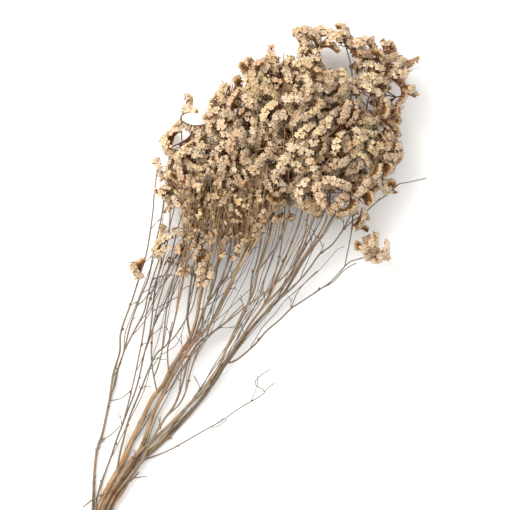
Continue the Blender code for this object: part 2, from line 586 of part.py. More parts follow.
class Spray:
    """A flower spray: a stalk to each cluster, and the spikes on it."""

    def __init__(self, name, twig, owner):
        self.name = name
        self.owner = owner
        end = twig.points[-1]
        self.way = (end - twig.points[-2]).normalized()
        self.root = end + self.way * GAP
        self.stalks = []
        self.spikes = []

    def stalk_curve(self, way, end, count):
        """From the twig's end, or from the first stalk, to the middle of a cluster."""
        if self.stalks:
            start = self.stalks[0][1].lerp(self.stalks[0][2], STALK_BRANCHING)
            return bend_curve(start, way, end, count)
        start = self.root + self.way * STRAIGHT_START
        return [self.root] + bend_curve(start, self.way, end, count)

    def add_stalk(self, end, space, draw):
        """A stalk to the cluster's middle, bent clear of what is in its way."""
        others = space.near((self.root + end) / 2, (end - self.root).length + 12 * MM)
        away = np.linalg.norm(others[:, :3] - np.array(self.root), axis=1)
        others = others[away > STRAIGHT_START + STALK_RADIUS]
        for attempt in range(STALK_TRIES):
            slack = attempt / STALK_TRIES
            target = end + random_way(draw) * STALK_STRAY * slack
            way = (self.way + random_way(draw) * STALK_SWING * slack).normalized()
            curve = self.stalk_curve(way, target, 2)
            line = self.stalk_curve(way, target, 16)
            line += [a.lerp(b, t) for a, b in zip(curve, curve[1:]) for t in (0.2, 0.4, 0.6, 0.8, 1.0)]
            if min(p.z for p in curve) < 2 * STALK_RADIUS:
                continue
            beads = [(p, STALK_RADIUS * 1.1) for p in line]
            if is_free(beads, self.owner, others):
                self.stalks.append(curve)
                space.add(beads, self.owner)
                return curve
        return None

    def try_spike(self, stalk, order, draw, florets):
        """A spike at a random place of a stalk, in a random way. The first one mostly ends it."""
        trunk = (stalk[-1] - stalk[-2]).normalized()
        if order == 0 and draw.random() < TIP_SHARE:
            start = stalk[-1] - trunk * OVERLAP
            way = (trunk + random_way(draw) * SPIKE_SWING).normalized()
            bare = TIP_FOOT
        else:
            start = stalk[-2].lerp(stalk[-1], draw.uniform(*SIDE_PLACE))
            spin = TURN_ROUND * order + draw.uniform(-1.2, 1.2)
            side = trunk.orthogonal().normalized()
            side = side * math.cos(spin) + trunk.cross(side) * math.sin(spin)
            opening = math.radians(draw.uniform(*SIDE_ANGLE))
            way = trunk * math.cos(opening) + side * math.sin(opening)
            bare = draw.uniform(*SIDE_FOOT)
        face = outward(start) + random_way(draw) * FACE_SWING
        turn = math.radians(draw.uniform(*CURL))
        return Spike(start, way, face, bare, florets, turn)

    def add_spike(self, stalk, order, space, draw, florets):
        """The best of many tried spikes: clear of the others, and furthest from their florets."""
        others = space.near(stalk[-1], 45 * MM)
        own = others[(others[:, 4] == self.owner) & (others[:, 3] > 2 * MM)]
        own[:, 4] = -1
        blooms = others[others[:, 3] > MOUTH_BEAD][:, :3]
        best = None
        for attempt in range(SPIKE_TRIES):
            count = florets - sum(attempt > tries for tries in SHORTER_AFTER)
            spike = self.try_spike(stalk, order, draw, count)
            cups = spike.floret_beads()
            beads = spike.rachis_beads() + cups
            lowest = min(p.z - r for p, r in beads)
            highest = max(p.z + r for p, r in beads)
            if lowest < CLEARANCE or highest > TALLEST:
                continue
            mouths = [p for p, r in cups if r > MOUTH_BEAD]
            if not fits(self.name, mouths):
                continue
            if not (is_free(cups, self.owner, own) and is_free(beads, self.owner, others)):
                continue
            score = NEIGHBOUR_REACH * count
            if len(blooms):
                spots = np.array([tuple(p) for p in mouths])
                gaps = np.linalg.norm(spots[:, None] - blooms[None], axis=2).min(axis=1)
                score = float(np.minimum(gaps, NEIGHBOUR_REACH).sum())
            if best is None or score > best[0]:
                best = (score, spike, beads)
        if best:
            self.spikes.append(best[1])
            space.add(best[2], self.owner)

    def add_resting_spike(self, spot, space):
        """A level spike close to the surface, with its florets pressed on it."""
        middle = place(spot[0], spot[1])
        middle.z = RESTING_HEIGHT
        way = Vector((middle.x - self.root.x, middle.y - self.root.y, 0))
        way.normalize()
        down = Vector((0, 0, -1))
        spike = Spike(middle - way * SPIKE_HALF, way, down, TIP_FOOT, FLORETS_A_SPIKE, 0.0)
        self.spikes.append(spike)
        space.add(spike.rachis_beads() + spike.floret_beads(), self.owner)


def laid_out():
    """The whole bunch: its settled stems and its sprays with their spikes."""
    stems = drawn_stems()
    settle(stems)
    space = Space()
    for owner, branches in enumerate(stems.values()):
        for branch in branches:
            space.add(branch.beads(BEAD_STEP), owner)
    twigs = {branch.bears: branch for branches in stems.values() for branch in branches}
    sprays = {}
    plans = []
    for number, (name, clusters) in enumerate(SPRAYS.items()):
        spray = Spray(name, twigs[name], len(stems) + number)
        sprays[name] = spray
        straight = [spray.root + spray.way * STRAIGHT_START * t for t in (0.3, 0.7, 1.0)]
        space.add([(p, STALK_RADIUS) for p in straight], spray.owner)
    for name, spot in RESTING.items():
        sprays[name].add_resting_spike(spot, space)
    for name, clusters in SPRAYS.items():
        spray = sprays[name]
        for x, y, height, count in clusters:
            draw = random.Random(f"{SEED} {name} {x} {y}")
            middle = place(x, y, height)
            if name in RESTING and (x, y) == RESTING[name]:
                spray.add_stalk(spray.spikes[0].start + Vector((0, 0, OVERLAP)), space, draw)
                continue
            ahead = middle - spray.root
            reach = max(ahead.length - SPIKE_HALF, 5 * MM)
            stalk = spray.add_stalk(spray.root + ahead.normalized() * reach, space, draw)
            if stalk:
                plans.append((spray, stalk, count, draw))
    for order in range(max(count for spray, stalk, count, draw in plans)):
        for spray, stalk, count, draw in plans:
            if order < count:
                spray.add_spike(stalk, order, space, draw, FLORETS_A_SPIKE)
    return stems, sprays


def tube(points, radii, sides, spin=0.0):
    """A closed tube along points, as corners and faces."""
    corners = []
    faces = []
    way = (points[1] - points[0]).normalized()
    side = way.orthogonal().normalized()
    for i, point in enumerate(points):
        before = points[max(i - 1, 0)]
        after = points[min(i + 1, len(points) - 1)]
        way = (after - before).normalized()
        side = (side - way * side.dot(way)).normalized()
        across = way.cross(side)
        for k in range(sides):
            angle = spin + 2 * math.pi * k / sides
            offset = side * math.cos(angle) + across * math.sin(angle)
            corners.append(point + offset * radii[i])
    for i in range(len(points) - 1):
        for k in range(sides):
            a = i * sides + k
            b = i * sides + (k + 1) % sides
            faces.append((a, b, b + sides, a + sides))
    faces.append(tuple(reversed(range(sides))))
    faces.append(tuple(range(len(corners) - sides, len(corners))))
    return corners, faces


def spike_shape(spike):
    """A closed spike: a three-sided rachis with a floret raised from one upper face of each run."""
    corners = []
    faces = []
    runs = [(spike.start, spike.way, spike.face)]
    runs += [spike.at(k / spike.florets) for k in range(spike.florets + 1)]
    for point, way, face in runs:
        across = way.cross(face)
        corners.append(point + face * RACHIS_RADIUS)
        corners.append(point - face * RACHIS_RADIUS * 0.5 - across * RACHIS_RADIUS * 0.87)
        corners.append(point - face * RACHIS_RADIUS * 0.5 + across * RACHIS_RADIUS * 0.87)
    places = list(spike.floret_places())
    for i in range(len(runs) - 1):
        top, left, right = 3 * i, 3 * i + 1, 3 * i + 2
        on_left = (top, top + 3, left + 3, left)
        on_right = (top, right, right + 3, top + 3)
        faces.append((left, left + 3, right + 3, right))
        if i == 0:
            faces += [on_left, on_right]
            continue
        root, opens = places[i - 1]
        if (i - 1) % 2:
            faces.append(on_left)
            raise_floret(corners, faces, on_right, root, opens)
        else:
            faces.append(on_right)
            raise_floret(corners, faces, on_left, root, opens)
    last = 3 * (len(runs) - 1)
    faces.append((0, 1, 2))
    faces.append((last, last + 2, last + 1))
    return corners, faces


def raise_floret(corners, faces, base, root, opens):
    """Raises a funnel from a face of the rachis: a wide mouth with a sunken middle."""
    side = corners[base[0]] - root
    side = (side - opens * side.dot(opens)).normalized()
    across = opens.cross(side)

    def angle_of(corner):
        offset = corners[corner] - root
        angle = math.atan2(offset.dot(across), offset.dot(side))
        return angle if angle > -1e-6 else angle + 2 * math.pi

    rim = []
    rim_angles = []
    for k in range(FLORET_SIDES):
        angle = 2 * math.pi * (k + 0.2) / FLORET_SIDES
        offset = side * math.cos(angle) + across * math.sin(angle)
        rim.append(len(corners))
        rim_angles.append(angle)
        corners.append(root + opens * FLORET_DEPTH + offset * FLORET_MOUTH)
    middle = len(corners)
    corners.append(root + opens * (FLORET_DEPTH - FLORET_DIP))
    base_angles = [0.0] + [angle_of(corner) for corner in base[1:]] + [2 * math.pi]
    rim_angles.append(rim_angles[0] + 2 * math.pi)
    i = j = 0
    while i < 4 or j < FLORET_SIDES:
        low, high = base[i % 4], rim[j % FLORET_SIDES]
        if j == FLORET_SIDES or (i < 4 and base_angles[i + 1] < rim_angles[j + 1]):
            faces.append((low, base[(i + 1) % 4], high))
            i += 1
        else:
            faces.append((low, rim[(j + 1) % FLORET_SIDES], high))
            j += 1
    for k in range(FLORET_SIDES):
        faces.append((rim[k], rim[(k + 1) % FLORET_SIDES], middle))


def new_object(name, shape, collection):
    corners, faces = shape
    mesh = bpy.data.meshes.new(name)
    mesh.from_pydata([tuple(c) for c in corners], [], faces)
    piece = bpy.data.objects.new(name, mesh)
    collection.objects.link(piece)
    return piece


def fused(name, shapes, material, flat_below=False):
    """One solid from overlapping closed shapes, cut level with the surface if it dips under."""
    repeats = bpy.data.collections.new(name + "_repeats")
    bpy.context.scene.collection.children.link(repeats)
    piece = new_object(name, shapes[0], bpy.context.scene.collection)
    for k, shape in enumerate(shapes[1:]):
        new_object(f"{name}_repeat_{k}", shape, repeats)
    join = piece.modifiers.new("join", "BOOLEAN")
    join.operation = "UNION"
    join.operand_type = "COLLECTION"
    join.collection = repeats
    join.solver = "MANIFOLD"
    cutter = None
    if flat_below:
        cutter = new_object(name + "_under", box_under(), bpy.context.scene.collection)
        cut = piece.modifiers.new("cut", "BOOLEAN")
        cut.operation = "DIFFERENCE"
        cut.object = cutter
        cut.solver = "MANIFOLD"
    graph = bpy.context.evaluated_depsgraph_get()
    mesh = bpy.data.meshes.new_from_object(piece.evaluated_get(graph))
    piece.modifiers.clear()
    piece.data = mesh
    mesh.materials.clear()
    mesh.materials.append(material)
    for scrap in list(repeats.objects) + ([cutter] if cutter else []):
        bpy.data.objects.remove(scrap)
    bpy.data.collections.remove(repeats)
    return piece


def box_under():
    """A block whose top is the surface."""
    half, depth = 0.5, 0.05
    corners = [Vector((x, y, z)) for z in (-depth, 0) for y in (-half, half) for x in (-half, half)]
    faces = [(0, 2, 3, 1), (4, 5, 7, 6), (0, 1, 5, 4), (2, 6, 7, 3), (0, 4, 6, 2), (1, 3, 7, 5)]
    return corners, faces


def material(name, colour, roughness):
    made = bpy.data.materials.new(name)
    made.use_nodes = True
    shader = made.node_tree.nodes["Principled BSDF"]
    shader.inputs["Base Color"].default_value = (*colour, 1)
    shader.inputs["Roughness"].default_value = roughness
    shader.inputs["Metallic"].default_value = 0
    return made


def build_stem(name, branches, wood):
    shapes = []
    for branch in branches:
        sides = tube_sides(branch.radii[0])
        radii = [r * tube_swell(branch.radii[0]) for r in branch.radii]
        shapes.append(tube(branch.points, radii, sides, spin=0.3))
    return fused(name, shapes, wood)


def build_spray(spray, cream):
    shapes = []
    for curve in spray.stalks:
        shapes.append(tube(curve, [STALK_RADIUS * 1.15] * len(curve), 3, spin=0.2))
    for spike in spray.spikes:
        shapes.append(spike_shape(spike))
    return fused(spray.name, shapes, cream, spray.name in RESTING)


def main():
    for old in list(bpy.data.objects):
        bpy.data.objects.remove(old)
    wood = material("wood", WOOD, 0.85)
    cream = material("cream", CREAM, 0.9)
    stems, sprays = laid_out()
    for name, branches in stems.items():
        build_stem(name, branches, wood)
    for spray in sprays.values():
        build_spray(spray, cream)


main()
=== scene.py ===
"""Dried statice: the looks of the bunch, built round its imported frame.

The first half lays the bunch out as its solids are laid out. The second half builds finer pieces in
the same places: round stems with knots and twigs, and spikes of small papery florets, with more
spikes between them from the same stalks.
"""

import json
import math
import random

import bpy
import numpy as np
from mathutils import Matrix, Vector
from mathutils.kdtree import KDTree

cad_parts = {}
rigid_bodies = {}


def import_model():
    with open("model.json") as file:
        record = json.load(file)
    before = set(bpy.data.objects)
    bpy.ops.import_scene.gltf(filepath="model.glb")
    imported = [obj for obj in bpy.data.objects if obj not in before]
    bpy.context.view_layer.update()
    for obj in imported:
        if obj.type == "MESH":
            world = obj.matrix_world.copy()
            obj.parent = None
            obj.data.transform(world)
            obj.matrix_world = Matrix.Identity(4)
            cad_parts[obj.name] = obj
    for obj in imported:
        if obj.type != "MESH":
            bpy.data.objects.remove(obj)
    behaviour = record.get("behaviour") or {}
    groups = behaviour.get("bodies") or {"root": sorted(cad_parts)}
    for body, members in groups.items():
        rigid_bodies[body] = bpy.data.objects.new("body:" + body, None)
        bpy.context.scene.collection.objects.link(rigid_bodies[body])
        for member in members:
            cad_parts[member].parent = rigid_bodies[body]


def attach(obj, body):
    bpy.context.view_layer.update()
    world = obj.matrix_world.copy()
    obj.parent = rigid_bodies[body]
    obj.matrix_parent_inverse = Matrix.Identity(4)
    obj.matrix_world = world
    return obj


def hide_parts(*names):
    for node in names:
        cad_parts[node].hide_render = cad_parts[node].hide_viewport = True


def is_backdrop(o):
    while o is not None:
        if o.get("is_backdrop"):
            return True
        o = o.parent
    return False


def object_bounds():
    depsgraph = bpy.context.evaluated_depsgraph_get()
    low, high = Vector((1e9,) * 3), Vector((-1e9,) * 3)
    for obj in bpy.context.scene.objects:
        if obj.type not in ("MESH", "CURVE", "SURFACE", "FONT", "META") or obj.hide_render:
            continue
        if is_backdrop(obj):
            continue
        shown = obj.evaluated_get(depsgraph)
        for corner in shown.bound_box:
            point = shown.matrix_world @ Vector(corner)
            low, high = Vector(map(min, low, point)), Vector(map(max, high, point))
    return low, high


# Driving sizes
MM = 0.001
UP = Vector((0, 0, 1))
SQUARE = 0.00087            # one square of the grid that the bunch is drawn on, seen from above
BUNCH_TURN = math.radians(63.0)   # from the drawing's x axis to the bunch's length
COS, SIN = math.cos(BUNCH_TURN), math.sin(BUNCH_TURN)
DRAWING_CENTRE = (231.2, 280.8)   # the point of the drawing that lies over the origin
GAP = 0.3 * MM              # between a spray and the twig that carries it
CLEARANCE = 0.35 * MM       # the least room between two stems, or between two sprays
SEED = 42

# Florets and spikes, larger than life
FLORET_DEPTH = 6.8 * MM
FLORET_MOUTH = 4.4 * MM     # radius
FLORET_BEADS = ((0.3, 0.55), (0.62, 0.76), (0.96, 1.02))    # shares of the depth and the radius
FLORET_STEP = 5.0 * MM      # along the spike, one floret to the left and the next to the right
FLORET_LEAN = math.radians(24.0)
FLORETS_A_SPIKE = 4
SPIKE_HALF = FLORET_STEP * FLORETS_A_SPIKE / 2
RACHIS_RADIUS = 1.2 * MM
RACHIS_BEADS = 8            # along the flowered run, and two more at these fractions of the foot
FOOT_BEADS = (0.4, 0.75)
STALK_RADIUS = 1.1 * MM
STALK_BEAD = STALK_RADIUS * 1.1
STALK_BEADS = 16            # along a stalk
START_BEADS = (0.3, 0.7, 1.0)     # fractions of its straight start
LOWEST_STALK = 2 * STALK_RADIUS
STRAIGHT_START = 2.5 * MM   # of a stalk, in line with the twig that carries it
SHORTEST_STALK = 5 * MM
STALK_BRANCHING = 0.3       # the fraction of the first stalk at which the others leave it
BEND = 0.45                 # how far a stalk holds its first way, as a share of its length
TIP_FOOT = 1.5 * MM         # the bare foot of a spike at a stalk's end
TIP_SHARE = 0.7             # of the tries at a stalk's first spike that end the stalk
SIDE_FOOT = (3 * MM, 9 * MM)      # and of one on its side, least and most
SIDE_ANGLE = (40, 100)      # degrees between such a spike and the stalk
SIDE_PLACE = (0.4, 0.97)    # fraction of the stalk's last run where it grows
TURN_ROUND = 2.4            # radians round the stalk from one spike to the next
TURN_STRAY = 1.2
CURL = (15, 95)             # degrees that a spike curls over its length
STRAIGHT = 1e-4             # a curl in radians that is none
OVERLAP = 0.8 * MM          # how deep a spike's foot is sunk in its stalk

# Settling and placing
WIDE_TUBE = 1.9 * MM        # stems above this radius have the most sides
NARROW_TUBE = 1.15 * MM     # and at or below this one the fewest
BEAD_STEP = 1.5 * MM        # between the round beads that stand for a stem
SETTLE_SPREAD = 20 * MM     # how far along a stem a push is felt
SETTLE_ROOM = CLEARANCE + 0.35 * MM
SETTLE_REACH = 6 * MM       # stems further apart than this don't push each other
SETTLE_LIFT = 0.1 * MM      # over the surface
SETTLE_TURNS = 120
STALK_TRIES = 160
STALK_REACH = 12 * MM       # round a stalk, within which others can be in its way
STALK_STRAY = 9 * MM        # how far from the cluster's middle the last tries end
STALK_SWING = 1.4           # and how much they turn away from the twig's way
SPIKE_TRIES = 120
SPIKE_REACH = 45 * MM       # round a stalk's end, within which others can be in a spike's way
SHORTER_AFTER = (50, 75)    # tries after which a spike has one floret less
SPIKE_SWING = 0.5           # at a stalk's end
FACE_SWING = 0.75           # how much a spike's florets turn from the way out of the mass
NEIGHBOUR_REACH = 14 * MM   # florets further apart than this don't crowd each other
FLORET_BEAD = 2 * MM        # beads larger than this belong to florets
MOUTH_BEAD = 4 * MM         # and those larger than this are their mouths

# The drawing of the stems. Each branch is the number of the spray that it bears, or 0, its radius
# at the start and at the end in mm, and its points: x to the right, y down, and the height in mm
# where it is known. A branch after the first one grows from the branch nearest to its first point.
STEMS = {
    1: [
        (1, 1.4, 0.6, (89.5, 531, 1.6), (91.5, 510, 1.6), (93, 475), (96, 450), (101, 435), (108, 402, 3),
         (112, 375), (118.5, 353), (120, 332, 6), (131, 301), (138, 279, 10), (146, 252),
         (151.5, 218, 15), (154, 190), (156.5, 172, 19)),
        (3, 0.9, 0.6, (109, 397), (113.5, 387), (117, 370), (123, 352), (129, 327, 9), (138.5, 300),
         (148, 277), (153, 252), (160, 222), (163, 203, 20)),
        (4, 0.8, 0.6, (123, 352), (131, 336), (143, 313), (147, 296, 12), (155, 270), (166, 238),
         (173, 212), (175, 198, 28)),
        (2, 0.6, 0.6, (136, 287), (138.5, 279, 15)),
        (0, 0.6, 0.5, (99, 443), (110, 436), (119, 427, 6)),
        (0, 0.6, 0.5, (108, 402), (120, 399.5), (130, 391.5, 8)),
    ],
    2: [
        (5, 1.0, 0.7, (93.5, 529, 4.3), (95.5, 502, 4.4), (101, 482), (109, 461, 5), (116, 440),
         (126, 414), (136, 387, 8), (144, 352), (148, 339), (151, 320, 10), (154, 292), (160, 265, 14)),
        (6, 0.8, 0.6, (121, 426), (128, 402), (133, 381, 9), (138, 357), (142, 337, 12), (146, 312),
         (153, 288), (162, 262), (168, 236, 20), (170, 205), (168, 178), (169, 153, 26)),
        (7, 0.8, 0.6, (148, 338), (156, 320), (163, 306, 13), (170, 288), (176, 270), (183, 248, 24),
         (187, 226), (188, 201, 36)),
        (0, 0.5, 0.5, (151, 312), (163, 304.5), (178, 297, 16)),
    ],
    3: [
        (31, 2.6, 0.8, (92, 530, 2.6), (97.5, 510, 2.6), (110, 484, 2.8), (121, 465), (130, 444, 4),
         (143, 417), (152, 399, 6), (163, 385), (170, 370), (184, 348, 10), (190, 338), (196, 320, 14),
         (200, 298), (205, 276, 24), (211, 252), (215, 228, 34), (218, 200), (217, 173, 40)),
        (51, 1.0, 0.6, (115, 475), (119, 455, 6), (122, 443), (128, 420), (137, 398, 9), (150, 366),
         (157, 353), (167, 344, 12), (173, 325), (179, 298, 18), (184, 274), (189, 250), (196, 228, 30),
         (205, 208, 38)),
        (9, 0.8, 0.6, (156, 393), (153.5, 380, 9), (151, 363), (151, 345), (153, 325, 14), (158, 303),
         (164, 283), (170, 260, 22), (175, 238), (182, 212), (187, 186), (187, 163, 42)),
        (8, 0.7, 0.6, (153.5, 378), (157, 368), (161, 353), (164, 328, 16), (166, 310), (170, 290),
         (177, 266, 24), (183, 240), (184, 212), (183, 180, 30), (182, 150), (181, 120, 34)),
        (10, 1.1, 0.6, (190, 338), (187, 318), (189, 295, 18), (193, 268), (198, 240), (201, 210, 38),
         (204, 175), (207, 131, 44)),
        (54, 0.8, 0.6, (168, 374), (167, 358), (168, 345), (175, 336), (184, 322, 18), (192, 308),
         (196, 293, 26)),
        (0, 0.6, 0.5, (168, 345), (170, 330), (172, 322, 16)),
        (0, 1.0, 0.7, (104, 495), (95, 499, 7.5), (88, 504, 6), (82, 509, 4)),
    ],
    4: [
        (29, 2.2, 0.8, (100.2, 529, 5), (103.7, 510, 5), (112.5, 493), (122, 478, 5.2), (130, 467),
         (142, 445, 6), (152, 416), (160, 400, 8), (168, 384), (179, 365, 12), (190, 347), (200, 336, 15),
         (212, 322), (222, 303, 22), (232, 282), (240, 262, 32), (246, 240), (250, 215, 42), (253, 190),
         (255, 160), (255, 118, 48)),
        (50, 1.2, 0.6, (191, 346), (198, 326), (205, 307, 20), (217, 290), (228, 273), (234, 254, 32),
         (236, 230), (233, 202, 40)),
        (30, 1.1, 0.6, (196, 341), (201, 328), (204, 312, 22), (209, 297), (214, 275), (220, 250, 36),
         (226, 222), (230, 195), (232, 165), (233, 132, 48)),
        (53, 0.7, 0.6, (206, 304), (211, 293), (215, 280), (218, 264, 20), (222, 243, 24)),
        (52, 0.7, 0.6, (239, 266), (245, 254), (251, 242, 24)),
        (11, 0.7, 0.6, (225, 226), (222, 195), (220, 160, 40), (221, 135), (225, 112, 38)),
        (32, 0.8, 0.6, (247, 238), (244, 205), (241, 180), (240, 164, 46)),
    ],
    5: [
        (47, 1.4, 0.7, (105, 533, 9.2), (107.5, 510, 9.2), (116, 494), (127, 480, 8), (141, 461),
         (152, 440, 8), (164, 420), (175, 404, 9), (183, 380), (188, 360, 11), (198, 344), (212, 333, 13),
         (228, 321), (244, 308, 18), (262, 295), (278, 282, 24), (292, 267), (302, 250, 32), (309, 232),
         (316, 214, 38)),
        (49, 0.8, 0.6, (165, 418), (178, 406), (185, 393, 14), (190, 373), (197, 352), (206, 337, 20),
         (213, 318), (225, 292), (238, 266, 34), (250, 240), (257, 220), (259, 203, 42)),
        (48, 0.8, 0.6, (262, 295), (270, 288), (276, 270), (281, 248, 34), (284, 222), (285, 201, 42)),
        (46, 0.8, 0.6, (294, 264), (303, 240), (308, 215, 44), (310, 190, 50)),
        (0, 0.6, 0.5, (225, 322), (234, 313), (244, 304, 24)),
    ],
    6: [
        (35, 1.6, 0.8, (109, 532, 6.2), (111, 510, 6.2), (121, 494), (134, 473, 6.5), (146, 456),
         (160, 442, 6.5), (172, 428), (184, 411, 7), (203, 390), (213, 377, 9), (228, 358),
         (241, 339, 12), (252, 322), (263, 307, 17), (272, 289), (283, 264, 28), (293, 240),
         (300, 220, 38), (305, 195), (308, 170), (310, 149, 50)),
        (36, 1.2, 0.6, (263, 307), (275, 295), (288, 281, 26), (300, 263), (312, 245), (324, 225, 40),
         (330, 203), (328, 178), (331, 152), (337, 132, 50)),
        (27, 0.8, 0.6, (307, 175), (303, 148), (302, 119, 52)),
        (26, 0.8, 0.6, (304, 155), (311, 130), (313, 105), (312, 88, 48)),
        (17, 0.7, 0.6, (313, 108), (320, 92), (321, 72), (318, 54, 44)),
        (16, 0.6, 0.6, (321, 80), (314, 70), (308, 60, 40)),
        (25, 0.8, 0.6, (332, 148), (331, 125), (333, 100, 48)),
        (18, 0.7, 0.6, (337, 140), (345, 120), (351, 96), (352, 72, 42), (347, 50, 44)),
    ],
    7: [
        (22, 2.2, 0.7, (106, 534, 2.3), (109, 512, 2.3), (121, 488, 2.4), (140, 463), (160, 445, 2.6),
         (180, 425), (204, 397, 4), (218, 375), (235, 352, 8), (250, 331), (262, 317, 12), (282, 296),
         (293, 279, 20), (306, 257), (318, 241, 28), (330, 222), (340, 200, 36), (348, 178),
         (355, 160, 42), (363, 140), (366, 118, 44), (368, 100), (374, 92), (380, 85, 44)),
        (55, 1.0, 0.6, (227, 364), (236, 361), (255, 345, 12), (266, 332), (280, 320), (291, 309, 16),
         (300, 303), (321, 289, 20), (332, 281), (347, 264.5), (351, 261.5), (363, 258, 22)),
        (56, 0.6, 0.6, (345, 266.5), (348, 252), (351, 237), (352, 230, 26)),
        (42, 1.0, 0.6, (262, 317), (274, 304), (287, 293), (300, 280, 22), (310, 268), (320, 254),
         (332, 245, 26), (343, 230), (351, 215), (359, 200, 32), (366, 190), (371, 181, 34)),
        (0, 0.6, 0.5, (343, 230), (353, 221), (366, 212, 26), (378, 201), (390, 193), (398, 184.5, 22),
         (411, 181.5), (427, 178, 22)),
        (43, 0.6, 0.6, (383, 198), (387, 194.5, 26)),
        (45, 0.8, 0.6, (329, 224), (336, 210), (345, 197, 42)),
        (44, 0.8, 0.6, (344, 189), (342, 180), (341, 169, 46)),
        (39, 0.8, 0.6, (350, 173), (359, 166), (365, 157, 46)),
        (37, 0.7, 0.6, (364, 135), (370, 128), (374, 122, 50)),
        (24, 0.7, 0.6, (367, 108), (362, 101), (360, 97, 48)),
        (38, 0.7, 0.6, (363, 140), (373, 131), (383, 123, 40)),
        (40, 0.7, 0.6, (355, 160), (370, 150), (384, 143, 36)),
        (23, 0.6, 0.6, (368, 102), (380, 101), (391, 99, 36)),
        (19, 0.6, 0.6, (370, 96), (366, 80), (364, 66, 44)),
        (0, 0.6, 0.5, (322, 288), (333, 282.5), (345, 270), (357, 263, 18)),
        (0, 0.5, 0.5, (291, 308.5), (298, 292), (308, 280), (318, 271, 22)),
        (0, 0.8, 0.5, (141, 462), (152, 458.5), (170, 451, 5), (200, 434, 7), (221, 422),
         (240.7, 408.5, 9), (264.5, 393.5, 12), (255, 385.5, 14), (259, 377.5), (271, 369.5, 16)),
        (0, 0.5, 0.5, (264, 393), (268, 389), (274, 384, 14)),
        (0, 0.5, 0.5, (210.5, 428.5), (217, 428), (227, 420, 9)),
        (0, 0.7, 0.6, (118, 493), (124, 487.5), (130, 483), (138, 473.5, 6)),
        (0, 0.6, 0.5, (133, 480), (146, 478, 8)),
    ],
    8: [
        (28, 1.7, 0.8, (99, 532, 9.5), (102, 510, 9.5), (111, 493), (122, 475, 8.5), (132, 460),
         (146, 447, 8), (162, 433, 7.5), (180, 415), (197, 397, 8), (209, 383), (218, 368, 11),
         (226, 350), (233, 335, 15), (240, 319), (247, 306, 20), (254, 290), (258, 272, 30), (265, 250),
         (271, 228, 38), (275, 200), (277, 165), (278, 119, 50)),
        (33, 0.9, 0.6, (247, 306), (250, 296), (252, 278, 26), (257, 260), (262, 235, 38), (265, 205),
         (265, 178), (264, 155, 50)),
        (34, 0.9, 0.6, (259, 270), (268, 258), (278, 243, 38), (286, 225), (290, 200), (288, 161, 52)),
        (14, 0.8, 0.6, (277, 150), (272, 120), (268, 97), (265, 84, 46)),
        (15, 0.8, 0.6, (278, 135), (283, 112), (283, 84, 48)),
    ],
}

# The drawing of the flower sprays: the middle of each cluster of spikes, x, y and the height in
# mm, and how many spikes it has.
SPRAYS = {
    1: [(158, 164, 22, 1)], 2: [(140, 267, 20, 2)], 3: [(163, 189, 22, 2)], 4: [(180, 182, 44, 2)],
    5: [(158, 243, 28, 2)], 6: [(170, 135, 30, 3)], 7: [(194, 174, 54, 2), (190, 184, 15, 1)],
    8: [(190, 103, 36, 1)], 9: [(190, 146, 50, 2)], 10: [(212, 114, 52, 3)],
    11: [(221, 93, 42, 1), (238, 84, 56, 2)], 14: [(268, 57, 50, 2), (250, 67, 48, 2)],
    15: [(286, 66, 62, 2)], 16: [(301, 36, 48, 3)], 17: [(326, 38, 56, 2)],
    18: [(343, 28, 46, 1), (356, 44, 50, 2)], 19: [(369, 47, 50, 3)],
    22: [(390, 74, 54, 2), (388, 51, 44, 2), (409, 68, 38, 1)], 23: [(405, 92, 36, 2)],
    24: [(362, 84, 62, 2)], 25: [(338, 84, 68, 2)], 26: [(314, 72, 66, 2), (316, 84, 16, 1)],
    27: [(303, 104, 76, 2)], 28: [(280, 100, 78, 2), (280, 106, 15, 1)],
    29: [(257, 102, 72, 2), (256, 108, 15, 1)], 30: [(236, 114, 64, 2), (236, 122, 15, 1)],
    31: [(216, 148, 62, 2), (214, 156, 16, 1)], 32: [(243, 147, 76, 2)],
    33: [(266, 138, 80, 2), (264, 146, 15, 1)], 34: [(291, 144, 84, 2)],
    35: [(315, 130, 84, 2), (312, 136, 15, 1)], 36: [(343, 117, 74, 2), (341, 122, 15, 1)],
    37: [(374, 110, 62, 2)], 38: [(396, 113, 42, 3)], 39: [(378, 146, 58, 2)],
    40: [(396, 134, 38, 1), (398, 152, 36, 2)], 42: [(386, 171, 44, 3)], 43: [(391, 187, 29, 1)],
    44: [(344, 152, 74, 2), (350, 160, 16, 1)], 45: [(354, 183, 60, 3)], 46: [(317, 173, 76, 2)],
    47: [(328, 199, 54, 3)], 48: [(288, 182, 64, 2)], 49: [(262, 184, 64, 2), (262, 192, 16, 1)],
    50: [(236, 183, 60, 2)], 51: [(211, 190, 48, 2)], 52: [(255, 224, 34, 2)], 53: [(228, 224, 32, 2)],
    54: [(203, 272, 34, 2), (201, 250, 34, 1)], 55: [(376, 246, 26, 4)], 56: [(359, 217, 30, 2)],
}

# The spikes that the bunch rests on lie level, close to the surface, with their florets down.
RESTING = {26: (316, 84), 31: (214, 156), 44: (350, 160), 49: (262, 192)}
RESTING_HEIGHT = 4.2 * MM

